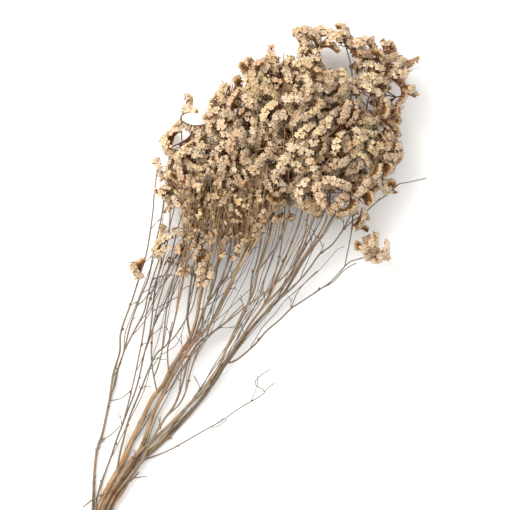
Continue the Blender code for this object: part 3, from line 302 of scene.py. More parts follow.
# The outline of the flower mass in the drawing, and the openings in it where light shows: x, y,
# and half the width and height of an ellipse.
OUTLINE = [
    (168, 200), (164, 185), (166, 172), (168, 160), (163, 148), (162, 138), (166, 131), (169, 124),
    (176, 121), (181, 124), (190, 122), (197, 128), (204, 126), (203, 113), (206, 104), (208, 94),
    (213, 94), (214, 104), (219, 106), (217, 95), (216, 84), (220, 80), (226, 84), (236, 78), (237, 70),
    (233, 64), (237, 61), (246, 58), (252, 55), (261, 58), (262, 48), (268, 44), (274, 46), (281, 53),
    (285, 50), (291, 51), (292, 60), (300, 64), (303, 58), (297, 50), (300, 40), (290, 34), (286, 28),
    (290, 23), (298, 25), (303, 21), (318, 27), (330, 28), (337, 26), (338, 20), (344, 18), (348, 24),
    (354, 36), (361, 42), (362, 36), (367, 32), (376, 44), (382, 54), (382, 44), (388, 39), (394, 40),
    (399, 54), (404, 60), (417, 59), (422, 64), (421, 70), (407, 74), (404, 82), (411, 85), (417, 87),
    (416, 91), (403, 99), (408, 104), (407, 109), (403, 120), (393, 126), (404, 131), (402, 136),
    (396, 139), (407, 146), (404, 158), (404, 164), (398, 168), (397, 175), (382, 178), (381, 190),
    (376, 203), (364, 208), (350, 216), (328, 216), (308, 225), (302, 224), (294, 204), (286, 206),
    (272, 222), (270, 240), (262, 248), (250, 250), (240, 246), (236, 238), (226, 242), (218, 250),
    (212, 245), (200, 232), (186, 226), (186, 210), (176, 205),
]
OPENINGS = [(338, 59, 15, 9), (366, 103, 4, 6), (394, 91, 6, 9), (181, 139, 6, 6), (199, 120, 6, 7)]

# The sprays that stand alone, each with the ellipse that its florets keep to.
ALONE = {
    1: (158, 163, 8, 12), 2: (140, 268, 9, 12), 3: (165, 191, 10, 14), 5: (160, 241, 11, 20),
    8: (189, 103, 8, 12), 43: (390, 187, 12, 9), 54: (202, 263, 11, 26), 55: (376, 246, 24, 16),
    56: (359, 216, 11, 13),
}

# The flower mass is about an ellipsoid: the florets face away from its middle.
MASS_MIDDLE = (288, 140, 34)
MASS_HALF = (125, 92, 44)   # in mm: along the bunch, across it, and up
TALLEST = 93.0 * MM


def clamp(value):
    return min(max(value, 0.0), 1.0)


def in_bunch(right, up, high):
    """The drawing's right and up, with a height, in the bunch's own axes."""
    return Vector((right * COS + up * SIN, up * COS - right * SIN, high))


def place(x, y, height=0.0):
    """A point of the drawing, with its height in mm, as a point of the model."""
    return in_bunch((x - DRAWING_CENTRE[0]) * SQUARE, (DRAWING_CENTRE[1] - y) * SQUARE, height * MM)


def on_drawing(point):
    """The point of the drawing that lies over a point of the model."""
    right = point[0] * COS - point[1] * SIN
    up = point[0] * SIN + point[1] * COS
    return DRAWING_CENTRE[0] + right / SQUARE, DRAWING_CENTRE[1] - up / SQUARE


def in_ellipse(x, y, ellipse, margin=0.0):
    middle_x, middle_y, half_x, half_y = ellipse
    return ((x - middle_x) / (half_x + margin)) ** 2 + ((y - middle_y) / (half_y + margin)) ** 2 < 1


def in_mass(x, y):
    """Whether a point of the drawing is in the outline and in none of its openings."""
    if any(in_ellipse(x, y, opening) for opening in OPENINGS):
        return False
    within = False
    for (ax, ay), (bx, by) in zip(OUTLINE, OUTLINE[1:] + OUTLINE[:1]):
        if (ay > y) != (by > y) and x < ax + (bx - ax) * (y - ay) / (by - ay):
            within = not within
    return within


def fits(number, points):
    """Whether a spray's florets at these points keep to the outline, or to its own ellipse."""
    spots = map(on_drawing, points)
    if number in ALONE:
        return all(in_ellipse(x, y, ALONE[number]) for x, y in spots)
    return all(in_mass(x, y) for x, y in spots)


class Branch:
    """One run of a stem: its points in the model, their radii, and where it grows from."""

    def __init__(self, bears, start_radius, end_radius, drawn):
        self.bears = bears
        self.points = [place(*p) for p in drawn]
        self.known = [len(p) == 3 for p in drawn]
        self.parent = None
        lengths = [0.0]
        for a, b in zip(self.points, self.points[1:]):
            lengths.append(lengths[-1] + (b.xy - a.xy).length)
        self.along = [s / lengths[-1] for s in lengths]
        self.radii = [(start_radius + (end_radius - start_radius) * t) * MM for t in self.along]

    def fill_heights(self):
        marks = [i for i, known in enumerate(self.known) if known]
        for a, b in zip(marks, marks[1:]):
            for i in range(a + 1, b):
                t = (self.along[i] - self.along[a]) / (self.along[b] - self.along[a])
                self.points[i].z = self.points[a].z + (self.points[b].z - self.points[a].z) * t

    def nearest(self, point):
        """How far a point is seen from above, and the segment and its fraction that are nearest."""
        found = []
        for i, (a, b) in enumerate(zip(self.points, self.points[1:])):
            run = (b - a).xy
            t = clamp((point - a).xy.dot(run) / run.length_squared)
            found.append(((a.xy + run * t - point.xy).length, i, t))
        return min(found)

    def seat(self):
        """Puts the first point on the branch that this one grows from."""
        if self.parent:
            branch, i, t = self.parent
            self.points[0] = branch.points[i].lerp(branch.points[i + 1], t)

    def beads(self, step):
        """Points along the branch with their radii, for telling how near it comes to others."""
        for a, b, ra, rb in zip(self.points, self.points[1:], self.radii, self.radii[1:]):
            count = max(1, math.ceil((b - a).length / step))
            for k in range(count):
                t = k / count
                yield a.lerp(b, t), (ra + (rb - ra) * t) * tube_swell(ra)
        yield self.points[-1], self.radii[-1] * tube_swell(self.radii[-1])


def tube_swell(radius):
    """How much wider than its true radius a solid's tube is, which has five sides or fewer."""
    if radius > WIDE_TUBE:
        return 1.07
    return 1.12 if radius > NARROW_TUBE else 1.3


def drawn_stems():
    """The stems as drawn, each a list of branches seated on each other."""
    stems = {}
    for number, drawn in STEMS.items():
        branches = stems[f"stem_{number}"] = []
        for bears, start_radius, end_radius, *points in drawn:
            branch = Branch(bears, start_radius, end_radius, points)
            if branches:
                found = [b.nearest(branch.points[0]) + (b,) for b in branches]
                away, i, t, parent = min(found, key=lambda f: f[0])
                branch.parent = (parent, i, t)
                branch.known[0] = True
                branch.seat()
            branch.fill_heights()
            branches.append(branch)
    return stems


def settle(stems):
    """Lifts or lowers a stem round each place where it would touch another or the surface."""
    for turn in range(SETTLE_TURNS):
        beads = [(point, radius, owner) for owner, branches in enumerate(stems)
                 for branch in branches for point, radius in branch.beads(BEAD_STEP)]
        tree = KDTree(len(beads))
        for i, (point, radius, owner) in enumerate(beads):
            tree.insert((point.x, point.y, 0), i)
        tree.balance()
        pushes = [[] for branches in stems]
        for point, radius, owner in beads:
            if point.z < radius:
                pushes[owner].append((point.x, point.y, radius - point.z + SETTLE_LIFT))
            for found, j, away in tree.find_range((point.x, point.y, 0), SETTLE_REACH):
                other, other_radius, other_owner = beads[j]
                if other_owner <= owner:
                    continue
                need = radius + other_radius + SETTLE_ROOM
                if (point - other).length < need:
                    lift = math.sqrt(max(need * need - away * away, 0)) - abs(point.z - other.z)
                    push = lift / 2 if point.z > other.z else -lift / 2
                    pushes[owner].append((point.x, point.y, push))
                    pushes[other_owner].append((other.x, other.y, -push))
        if not any(pushes):
            return
        for branches, field in zip(stems, map(np.array, pushes)):
            if not len(field):
                continue
            for branch in branches:
                for point in branch.points:
                    away = np.hypot(field[:, 0] - point.x, field[:, 1] - point.y)
                    push = field[:, 2] * np.exp(-((away / SETTLE_SPREAD) ** 2))
                    point.z += max(push.max(), 0) + min(push.min(), 0)
            for branch in branches:
                branch.seat()


class Space:
    """Every piece placed so far, as beads with an owner."""

    def __init__(self):
        self.rows = []
        self.table = np.zeros((0, 5))

    def add(self, beads, owner):
        self.rows += [(*p, r, owner) for p, r in beads]

    def near(self, middle, reach):
        if len(self.rows) > len(self.table):
            self.table = np.array(self.rows)
        away = np.abs(self.table[:, :3] - np.array(middle)).max(axis=1)
        return self.table[away < reach]


def is_free(beads, owner, others):
    """Whether beads keep their clearance to the beads of other owners."""
    others = others[others[:, 4] != owner]
    if not len(others) or not beads:
        return True
    radii = np.array([r for p, r in beads])
    away = np.linalg.norm(np.array([p for p, r in beads])[:, None] - others[None, :, :3], axis=2)
    return bool((away > radii[:, None] + others[None, :, 3] + CLEARANCE).all())


def spread(spots, others, smallest):
    """How far these spots are in all from the larger beads round them."""
    blooms = others[others[:, 3] > smallest][:, :3]
    if not len(blooms):
        return NEIGHBOUR_REACH * len(spots)
    gaps = np.linalg.norm(np.array(spots)[:, None] - blooms[None], axis=2).min(axis=1)
    return float(np.minimum(gaps, NEIGHBOUR_REACH).sum())


def outward(point):
    """The way that the florets face here: away from the middle of the flower mass."""
    away = point - place(*MASS_MIDDLE)
    return Vector([away[i] / (MASS_HALF[i] * MM) ** 2 for i in range(3)]).normalized()


def square_to(way, toward):
    """The way at right angles to the first one that is nearest to the second."""
    return (toward - way * toward.dot(way)).normalized()


def bend_curve(start, way, end, count):
    """A curve that leaves start in the given way and reaches end."""
    control = start + way * (end - start).length * BEND
    shares = [k / count for k in range(count + 1)]
    return [start * (1 - t) ** 2 + control * 2 * t * (1 - t) + end * t * t for t in shares]


class Spike:
    """A curved spike: a bare foot, then a rachis with florets along its outer side."""

    def __init__(self, start, way, face, bare, florets, turn):
        self.start = start.copy()
        self.way = way.normalized()
        self.face = square_to(self.way, face)
        self.bare = bare
        self.florets = florets
        self.turn = turn
        self.length = FLORET_STEP * florets

    def at(self, t):
        """The point at fraction t of the flowered run, its way and the way florets face."""
        angle = self.turn * t
        foot = self.start + self.way * self.bare
        if abs(self.turn) < STRAIGHT:
            return foot + self.way * self.length * t, self.way, self.face
        bow = self.length / self.turn
        point = foot + self.way * bow * math.sin(angle) - self.face * bow * (1 - math.cos(angle))
        way = self.way * math.cos(angle) - self.face * math.sin(angle)
        face = self.face * math.cos(angle) + self.way * math.sin(angle)
        return point, way, face

    def rachis_beads(self):
        line = [self.start + self.way * self.bare * t for t in FOOT_BEADS]
        line += [self.at(k / RACHIS_BEADS)[0] for k in range(RACHIS_BEADS + 1)]
        return [(point, RACHIS_RADIUS) for point in line]

    def floret_beads(self):
        """Beads up each floret. The florets lean to the two sides in turn."""
        row = []
        for k in range(self.florets):
            root, way, face = self.at((k + 0.5) / self.florets)
            lean = FLORET_LEAN * (1 if k % 2 else -1)
            opens = (face * math.cos(lean) + way.cross(face) * math.sin(lean)).normalized()
            for part, share in FLORET_BEADS:
                row.append((root + opens * FLORET_DEPTH * part, FLORET_MOUTH * share))
        return row


def random_way(draw):
    z = draw.uniform(-1, 1)
    angle = draw.uniform(0, 2 * math.pi)
    level = math.sqrt(1 - z * z)
    return Vector((level * math.cos(angle), level * math.sin(angle), z))


class Spray:
    """A flower spray: a stalk to each cluster, and the spikes on it."""

    def __init__(self, number, twig, owner):
        self.number = number
        self.name = f"spray_{number:02}"
        self.owner = owner
        end = twig.points[-1]
        self.way = (end - twig.points[-2]).normalized()
        self.root = end + self.way * GAP
        self.stalks = []
        self.spikes = []

    def stalk_curve(self, way, end, count):
        """From the twig's end, or from the first stalk, to the middle of a cluster."""
        if self.stalks:
            start = self.stalks[0][1].lerp(self.stalks[0][2], STALK_BRANCHING)
            return bend_curve(start, way, end, count)
        start = self.root + self.way * STRAIGHT_START
        return [self.root] + bend_curve(start, self.way, end, count)

    def add_stalk(self, end, space, draw):
        """A stalk to the cluster's middle, bent clear of what is in its way."""
        others = space.near((self.root + end) / 2, (end - self.root).length + STALK_REACH)
        away = np.linalg.norm(others[:, :3] - np.array(self.root), axis=1)
        others = others[away > STRAIGHT_START + STALK_RADIUS]
        for attempt in range(STALK_TRIES):
            slack = attempt / STALK_TRIES
            target = end + random_way(draw) * STALK_STRAY * slack
            way = (self.way + random_way(draw) * STALK_SWING * slack).normalized()
            curve = self.stalk_curve(way, target, 2)
            line = self.stalk_curve(way, target, STALK_BEADS)
            for a, b in zip(curve, curve[1:]):
                line += [a.lerp(b, k / 5) for k in range(1, 6)]
            if min(p.z for p in curve) < LOWEST_STALK:
                continue
            beads = [(p, STALK_BEAD) for p in line]
            if is_free(beads, self.owner, others):
                self.stalks.append(curve)
                space.add(beads, self.owner)
                return curve
        return None

    def try_spike(self, stalk, order, draw, florets):
        """A spike at a random place of a stalk, in a random way. The first one mostly ends it."""
        trunk = (stalk[-1] - stalk[-2]).normalized()
        if order == 0 and draw.random() < TIP_SHARE:
            start = stalk[-1] - trunk * OVERLAP
            way = (trunk + random_way(draw) * SPIKE_SWING).normalized()
            bare = TIP_FOOT
        else:
            start = stalk[-2].lerp(stalk[-1], draw.uniform(*SIDE_PLACE))
            spin = TURN_ROUND * order + draw.uniform(-TURN_STRAY, TURN_STRAY)
            side = trunk.orthogonal().normalized()
            side = side * math.cos(spin) + trunk.cross(side) * math.sin(spin)
            opening = math.radians(draw.uniform(*SIDE_ANGLE))
            way = trunk * math.cos(opening) + side * math.sin(opening)
            bare = draw.uniform(*SIDE_FOOT)
        face = outward(start) + random_way(draw) * FACE_SWING
        turn = math.radians(draw.uniform(*CURL))
        return Spike(start, way, face, bare, florets, turn)

    def add_spike(self, stalk, order, space, draw):
        """The best of many tried spikes: clear of the others, and furthest from their florets."""
        others = space.near(stalk[-1], SPIKE_REACH)
        own = others[(others[:, 4] == self.owner) & (others[:, 3] > FLORET_BEAD)]
        own[:, 4] = -1
        best = None
        for attempt in range(SPIKE_TRIES):
            count = FLORETS_A_SPIKE - sum(attempt > tries for tries in SHORTER_AFTER)
            spike = self.try_spike(stalk, order, draw, count)
            cups = spike.floret_beads()
            beads = spike.rachis_beads() + cups
            if min(p.z - r for p, r in beads) < CLEARANCE or max(p.z + r for p, r in beads) > TALLEST:
                continue
            mouths = [p for p, r in cups if r > MOUTH_BEAD]
            if not fits(self.number, mouths):
                continue
            if not (is_free(cups, self.owner, own) and is_free(beads, self.owner, others)):
                continue
            score = spread(mouths, others, MOUTH_BEAD)
            if best is None or score > best[0]:
                best = (score, spike, beads)
        if best:
            self.spikes.append(best[1])
            space.add(best[2], self.owner)

    def add_resting_spike(self, spot, space):
        """A level spike close to the surface, with its florets pressed on it."""
        middle = place(*spot)
        middle.z = RESTING_HEIGHT
        way = Vector((middle.x - self.root.x, middle.y - self.root.y, 0)).normalized()
        spike = Spike(middle - way * SPIKE_HALF, way, -UP, TIP_FOOT, FLORETS_A_SPIKE, 0.0)
        self.spikes.append(spike)
        space.add(spike.rachis_beads() + spike.floret_beads(), self.owner)


def laid_out():
    """The whole bunch: its settled stems and its sprays with their spikes."""
    stems = drawn_stems()
    settle(stems.values())
    space = Space()
    for owner, branches in enumerate(stems.values()):
        for branch in branches:
            space.add(branch.beads(BEAD_STEP), owner)
    twigs = {branch.bears: branch for branches in stems.values() for branch in branches}
    sprays = {}
    for owner, number in enumerate(SPRAYS, len(stems)):
        spray = sprays[number] = Spray(number, twigs[number], owner)
        straight = [spray.root + spray.way * STRAIGHT_START * t for t in START_BEADS]
        space.add([(p, STALK_RADIUS) for p in straight], owner)
    for number, spot in RESTING.items():
        sprays[number].add_resting_spike(spot, space)
    plans = []
    for number, spray in sprays.items():
        for x, y, height, count in SPRAYS[number]:
            draw = random.Random(f"{SEED} {spray.name} {x} {y}")
            if RESTING.get(number) == (x, y):
                spray.add_stalk(spray.spikes[0].start + UP * OVERLAP, space, draw)
                continue
            ahead = place(x, y, height) - spray.root
            reach = max(ahead.length - SPIKE_HALF, SHORTEST_STALK)
            stalk = spray.add_stalk(spray.root + ahead.normalized() * reach, space, draw)
            if stalk:
                plans.append((spray, stalk, count, draw))
    for order in range(max(count for spray, stalk, count, draw in plans)):
        for spray, stalk, count, draw in plans:
            if order < count:
                spray.add_spike(stalk, order, space, draw)
    return stems, sprays


# Fine florets. A calyx is rings from its root to its throat: height and radius in mm, how far its
# five lobes stand out, and its tone, from dark brown at 0 to cream at 1.
CALYX = [
    (1.9, 0.90, 0.00, 0.30), (3.8, 1.65, 0.10, 0.74), (5.6, 2.72, 0.18, 1.00), (4.8, 1.55, 0.10, 0.94)]
CALYX_ROOT_TONE = 0.08
CALYX_RIB_TONE = 0.06       # how much darker it is between its lobes
CALYX_LOBE_RISE = 0.4       # how much higher its lobes are, for how far they stand out
CALYX_THROAT = (3.6, 0.78)  # height in mm, and tone
CALYX_RAGGED = 0.10         # how far its corners stray, as a share of their distance from the root
CALYX_KINDS = 24            # ragged shapes to choose from
CALYX_SIZE = (0.8, 1.12)    # least and most, for its size and again for its width
CALYX_OVAL = (0.85, 1.0)    # its depth as a share of its width
CLOSED_SHARE = 0.12         # of the calyces that are nearly closed
CLOSED_WIDTH = 0.55         # of an open one's width
FOOT_SIZE = 1.04            # of a calyx at a spike's foot
TIP_LOSS = 0.28             # and how much smaller it is at the spike's end
FINE_STEP = 1.3 * MM        # from one floret to the next, on the other side of the spike
FINE_LEAN = math.radians(19.0)
FINE_ROOT = 0.3 * MM        # from the rachis to a calyx
STEP_STRAY = 0.2            # of a step, for a floret's place
LEAN_SWING = (0.7, 1.3)     # of the lean
TILT = (-0.15, 0.35)        # how much a calyx leans along the spike
OLDER = [0, 0, 0, 0, 0.35]  # what may be added to its age
SHADE_SWING = 0.2
RACHIS_STEPS = 6
BRACT_LENGTH = 2.8 * MM
BRACT_WIDTH = 0.85 * MM
BRACT_SIZES = (0.7, 1.3)
BRACT_LEAN = 0.5            # from the way of a stalk, and of a stem:
KNOT_BRACT_LEAN = 0.45
KNOT_BRACT_ROOT = 0.6       # of the stem's radius, how far its root is from the middle
# The two bracts at a calyx: how far they go out, to the calyx's side, and along the spike, and
# their sizes
OUTER_BRACT = (0.8, 0.7, (-0.1, 0.5), (0.8, 1.3))
INNER_BRACT = (0.5, -0.4, (0.3, 0.9), (0.7, 1.2))
BEAD_SPACING = 3.4 * MM     # between the beads that stand for a fine spike's calyces
BEAD_RISE = 3.9 * MM        # from the rachis
BEAD_RADIUS = 3.5 * MM

# More spikes from the same stalks
EXTRA_SPIKES = 7            # for each of the solids' stalks
EXTRA_TRIES = 36
EXTRA_REACH = 48 * MM       # round a stalk's end, within which others can be in the way
EXTRA_RUNS = [1, 2, 2, 2]   # of a long stalk, where it may start: mostly in the last run
EXTRA_FOOT = (2.0, 16.0)    # mm, least and most
FOOT_SPOTS = (0.35, 0.7, 1.0)
EXTRA_FLORETS = (3, 4)      # of the solids' florets, for its length
EXTRA_OVERLAP = 1.5 * MM    # how far the florets of two spikes reach into each other
EXTRA_CURL = (40, 150)      # degrees over its length
FOOT_RADIUS = 0.3 * MM
EXTRA_AHEAD = 0.7           # how much it goes the way of its stalk,
EXTRA_RISE = (-0.1, 0.7)    # the way out of the mass,
EXTRA_SWING = 1.1           # and any other way
EXTRA_FACE_SWING = 0.7      # how much their florets turn from the way out of the mass
LONE_FACE_SWING = 0.5       # or from straight up, on a spray that stands alone
EXTRA_BEAD = 3 * MM         # beads larger than this belong to calyces
DEEP_SPIKES = 6             # more of them low in the mass, brown from the painted shade inside it
DEEP_RISE = (-0.9, -0.1)
DEEPEST = 46 * MM           # the highest that those reach
HEADROOM = 3 * MM           # over the surface, and under the top of the tallest solid
ROOMY = 16                  # half the width of a lone spray whose extra spikes have their full foot
STALK_STEP = 2.2 * MM
BRACT_PLACES = 3            # points of a stalk's line from one bract to the next
SMALL_BELOW = DEEPEST * 0.8 # the extra spikes below this height have the plainer calyces
THATCH_TWIGS = 34           # fine side twigs on each stalk
LONE_THATCH_TWIGS = 8       # and on a stalk of a spray that stands alone
THATCH_LENGTH = (9, 34)     # mm
LONE_THATCH = 0.4           # of that length on a spray that stands alone
THATCH_SWING = 0.9          # how much they turn from the stalk's way
THATCH_FALL = (0.2, 0.9)    # and down, every other one

# The materials of a stem and of a spray, by their places in its list
BARK, TWIG, STRAY_CREAM = 0, 1, 2
CREAM = 0

# The kinds of thin twig: radius, its share at the foot and how much of it is lost to the end, sides,
# tone or the least and the most of it, and material
RACHIS = (0.55 * MM, 1.15, 0.675, 6, 0.25, TWIG)
STALK = (0.75 * MM, 1.1, 0.25, 7, 0.4, TWIG)
THATCH = (0.27 * MM, 1.25, 0.6, 4, (0.5, 0.9), TWIG)
LOW_THATCH = (0.48 * MM, 1.25, 0.6, 4, (0.5, 0.9), TWIG)
THICKET = (0.27 * MM, 1.3, 0.6, 4, (0.68, 1.15), TWIG)
TWIGLET = (0.32 * MM, 1.3, 0.7, 5, 0.4, BARK)
LONG_TWIG = (0.36 * MM, 1.2, 0.5, 5, 0.4, BARK)
VEIL_TWIG = (0.36 * MM, 1.2, 0.5, 5, 0.78, BARK)

GROWN_STEPS = 5             # of the thin twigs that wander as they grow
WANDER = 0.3                # how much they turn at each step
TUBE_END = 0.15             # how far a tube's ends stand out, as a share of its first radius

# Fine stems
STEM_STEP = 3.2 * MM
STEM_SIDES = (14, 10, 8)    # of a wide, a middling and a narrow one
SLIMMEST = 0.8              # the thinnest stem's radius, as a share of its solid's
FULL_RADIUS = 2.2 * MM      # from this radius on a stem is as thick as its solid
BUMPY = (0.96, 1.04)        # of its radius, from place to place
THIN_TONE = 0.5             # of the thinnest wood
THICK_TONE = 0.35           # added to it at this radius:
THICK_RADIUS = 2.6 * MM
KNOT_SPACING = 34 * MM
KNOT_STRAY = 9              # mm along the stem
KNOT_SWELL = 0.16
KNOT_HALF = 2.2 * MM
KNOT_BRACT_RADIUS = 1.6 * MM    # the radius at which a knot's scale is twice its size
TWIGLET_SHARE = 0.65        # of the knots that have a short side twig
TWIGLET_START = 60 * MM     # how far along a branch these start
TWIGLET_LENGTH = (6, 24)    # mm
TWIGLET_RISE = 0.3          # of what it would go up or down
TWIGLET_LEAN = (0.4, 0.9)   # away from its branch
FORK_LENGTH = (3, 10)       # mm
FORK_LEAN = 2 * MM
BUD_SIZE = 0.5              # of the scale at its end
BUD_SUNK = 0.5 * MM
LONG_TWIGS = 3              # beside each branch at most
LONG_TWIG_BRANCH = 110 * MM     # the shortest branch that has them
LONG_TWIG_STEP = 7 * MM
LONG_TWIG_START = (0.08, 0.5)   # fraction of the branch
LONG_TWIG_END = (0.7, 1.0)
LONG_TWIG_STEPS = 5         # at least
LONG_TWIG_LIFT = (-5, 7)    # mm at its end
LONG_TWIG_SWAY = 1.5 * MM
LONG_TWIG_STRAY = 19 * MM   # how far it ends from its branch at most
LEAST_STRAY = 0.3           # of that
LONG_TWIG_RISE = 0.7        # the power by which it leaves its branch
SWAY_TURN = 9               # radians of its sway over its length
EDGE = 60 * MM              # from the middle line, where twigs lean inward only
LONE_SIDE = 385             # across the drawing: no twigs past it but the drawn ones
VEIL_TWIGS = 5              # for each branch that ends under the lower part of the mass
VEIL_BRANCH = 20            # steps of the shortest branch that has them
SHORTEST_TWIG = 4           # steps
VEIL_STEP = 5 * MM
VEIL_SIDES = (188, 268, 385)    # across the drawing, where those branches end. Past the second
                                # one there is one twig for each branch, and it goes further
VEIL_ENDS = (160, 84)       # down the drawing, where the twigs end, left and right of it
VEIL_TOP = (62, 92)         # mm, how high they end
VEIL_STRAY = 13             # mm to either side
VEIL_RISE = 0.8             # the power by which they leave the branch
VEIL_SWAY = 0.08            # of that, and the radians of the sway over a twig's length
VEIL_SWAY_TURN = 8
VEIL_LEFT = (176, 202)      # across the drawing, where the brown part starts, and is full
VEIL_RIGHT = (290, 258)     # and where it ends, and is full still
VEIL_UPPER = (174, 200)     # down the drawing, in the same way
VEIL_LOWER = (264, 234)
VEIL_SLANT = 0.5            # how much sooner it ends below, for each step to the right of this:
VEIL_MIDDLE = 236
VEIL_LOSS = 0.45            # the share of a spike's calyces that are missing in it
VEIL_SHRINK = 0.12          # how much smaller they are
VEIL_EMPTY = 0.7            # the share of the tried spikes that it turns down
VEIL_START = (0.55, 0.85)   # fraction of the branch where such a twig starts
VEIL_BEYOND = (4, 11)       # steps past the branch's end, less one
VEIL_SHADE = 0.7            # of any other twig's shade
VEIL_BITS = 0.14            # share of the places that have a flowered bit
THICKET_TWIGS = 5           # at each step along a branch inside it
THICKET_LENGTH = (14, 46)   # mm
THICKET_SWING = 0.35        # how much they turn from the branch's way
THICKET_RISE = (0, 0.6)     # and up
THICKET_BITS = 0.17
THICKET_TOP = 90 * MM
BIT_SPACING = 8 * MM        # between the small flowered bits along its upper part
BIT_STRAY = (0.6, 1.6)      # of that spacing
BIT_FOOT = (1.5, 5)         # mm
BIT_LEAN = (0.3, 0.8)       # away from the twig
BIT_LENGTH = (4, 9)         # mm
BIT_FACE_RISE = 0.7         # how much its calyces turn up
BIT_CURL = 0.4              # radians
BIT_AGE = (0.0, 0.38)
BIT_LOWEST = 4 * MM
LOWEST_BIT = (215, 282)     # across and down the drawing: to the right of it they end sooner
BIT_SLANT = 0.8
BITS_FULL = 190             # down the drawing: above it they are as many as they can be
BITS_FALL = 1.2             # the power by which they get fewer from there down
OPENING_MARGIN = 3.5        # how much wider the openings are for the middles of the extra florets

# How brown the florets are. Across the drawing, down it, or in shares of the mass from its middle:
# where they start to be paler or browner, and where they are so in full. The brown inside the mass
# is painted shade, and the paler right side is painted light.
# paler at the left: partly the florets' own tone, partly painted light on the low left side
PALER_LEFT = (240, 190)
# paler at the right: painted light, against the shade that the key light leaves there
PAINTED_LIFT_RIGHT = (335, 365)
BROWN_LOW = (170, 210)
BROWN_RIGHT = (350, 290)
# florets browner inside the mass: painted shade, strongest near its middle
PAINTED_SHADE_DEEP = (0.8, 0.0)
LEAST_RIGHT = 0.15          # how much of the brown below is still there at the right
LEFT_OF_LOW = 0.7           # how much of it, and of the painted shade inside, is missing at the left
LEFT_OF_DEEP = 0.75
MOST_DEEP = 0.7
BELOW_MASS = 225            # down the drawing: the painted shade inside is this share of itself past it
DEEP_BELOW = 0.3
PLAIN_AGE = 0.05            # and what these add to it: left, right (painted light), low, deep (painted shade), and the brown part
AGE_SHARES = (-0.25, -0.15, 0.3, 0.55, 0.2)
PATCH_AGE = 0.2             # in patches of about 27 by 24 squares
BROWNED_AGE = 0.45          # of single spikes, and their share left and right of this place:
BROWNED_SIDE = 235
BROWNED_SHARES = (0.1, 0.18)
AGE_STRAY = (-0.1, 0.25)
ROSY = [(358, 26, 68), (380, 98, 130)]  # right of the first, and down from the second to the third
ROSY_SHARE = 0.4
ROSY_AGE = 1.4

# The view and the light
PHOTO_SIDE = 510
CAMERA_HEIGHT = 5.0
SHARP_HEIGHT = 0.045        # where the camera's scale is exactly the drawing's
SENSOR = 36.0               # mm
FLOOR_HALF = 12.0
WORLD_STRENGTH = 1.12
LIGHT_FROM = (-0.75, 0.75, 1.3)     # right, up and high
LIGHT_DISTANCE = 2.4
LIGHT_SIDE = 1.5
LIGHT_WATTS = 50.0
LIGHT_COLOUR = (1.0, 0.97, 0.92)


class Pile:
    """The corners and faces of the many closed shapes that make one piece."""

    def __init__(self):
        self.corners = []
        self.tints = []
        self.runs = []
        self.faces = []
        self.kinds = []
        self.count = 0

    def add(self, corners, faces, tints, runs, kind):
        """Adds a closed shape: its corners, faces, colour values, grain places and material."""
        self.corners.append(corners)
        self.tints.append(tints)
        self.runs.append(runs)
        self.faces += [tuple(self.count + c for c in face) for face in faces]
        self.kinds += [kind] * len(faces)
        self.count += len(corners)

    def piece(self, name, materials, slot):
        corners = np.concatenate(self.corners)
        corners[:, 2] = np.maximum(corners[:, 2], 0.0)
        mesh = bpy.data.meshes.new(name)
        mesh.from_pydata(corners.tolist(), [], self.faces)
        for made in materials:
            mesh.materials.append(made)
        mesh.polygons.foreach_set("material_index", self.kinds)
        mesh.polygons.foreach_set("use_smooth", [True] * len(self.faces))
        tints = np.ones((self.count, 4), np.float32)
        tints[:, :3] = np.concatenate(self.tints)
        layer = mesh.color_attributes.new("tint", "FLOAT_COLOR", "POINT")
        layer.data.foreach_set("color", tints.ravel())
        grain = mesh.attributes.new("run", "FLOAT_VECTOR", "POINT")
        grain.data.foreach_set("vector", np.concatenate(self.runs).astype(np.float32).ravel())
        mesh.update()
        made = bpy.data.objects.new(name, mesh)
        bpy.context.scene.collection.objects.link(made)
        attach(made, "root")
        return made


def add_tube(pile, points, radii, sides, tints, kind):
    """A closed round tube along points. tints has the colour values of each point."""
    line = np.array(points)
    ways = np.gradient(line, axis=0)
    ways /= np.linalg.norm(ways, axis=1)[:, None]
    side = np.array(Vector(ways[0]).orthogonal().normalized())
    along = np.concatenate([[0.0], np.cumsum(np.linalg.norm(np.diff(line, axis=0), axis=1))])
    angles = 2 * math.pi * np.arange(sides) / sides
    cos, sin = np.cos(angles)[:, None], np.sin(angles)[:, None]
    corners, runs = [], []
    for i in range(len(line)):
        side = side - ways[i] * side.dot(ways[i])
        side /= np.linalg.norm(side)
        corners.append(line[i] + (cos * side + sin * np.cross(ways[i], side)) * radii[i])
        runs.append(np.column_stack([np.full(sides, along[i]), cos * radii[i], sin * radii[i]]))
    last = len(line) - 1
    corners.append(line[[0, last]] + ways[[0, last]] * np.array([[-TUBE_END], [TUBE_END]]) * radii[0])
    runs.append(np.array([[along[0], 0, 0], [along[last], 0, 0]]))
    shades = np.concatenate([np.repeat(tints, sides, axis=0), [tints[0], tints[last]]])
    low = sides * (last + 1)
    steps = [(k, (k + 1) % sides) for k in range(sides)]
    faces = [(first + a, first + b, first + b + sides, first + a + sides)
             for first in range(0, sides * last, sides) for a, b in steps]
    for a, b in steps:
        faces += [(low, b, a), (low + 1, low - sides + a, low - sides + b)]
    pile.add(np.concatenate(corners), faces, shades, np.concatenate(runs), kind)


def add_twig(pile, line, looks, shade, age, draw):
    """A thin twig along a line, as one of the kinds of thin twig."""
    radius, foot, loss, sides, tone, kind = looks
    count = len(line)
    radii = [radius * (foot - loss * k / count) for k in range(count)]
    if isinstance(tone, tuple):
        tone = draw.uniform(*tone)
    add_tube(pile, line, radii, sides, [(tone, shade, age)] * count, kind)


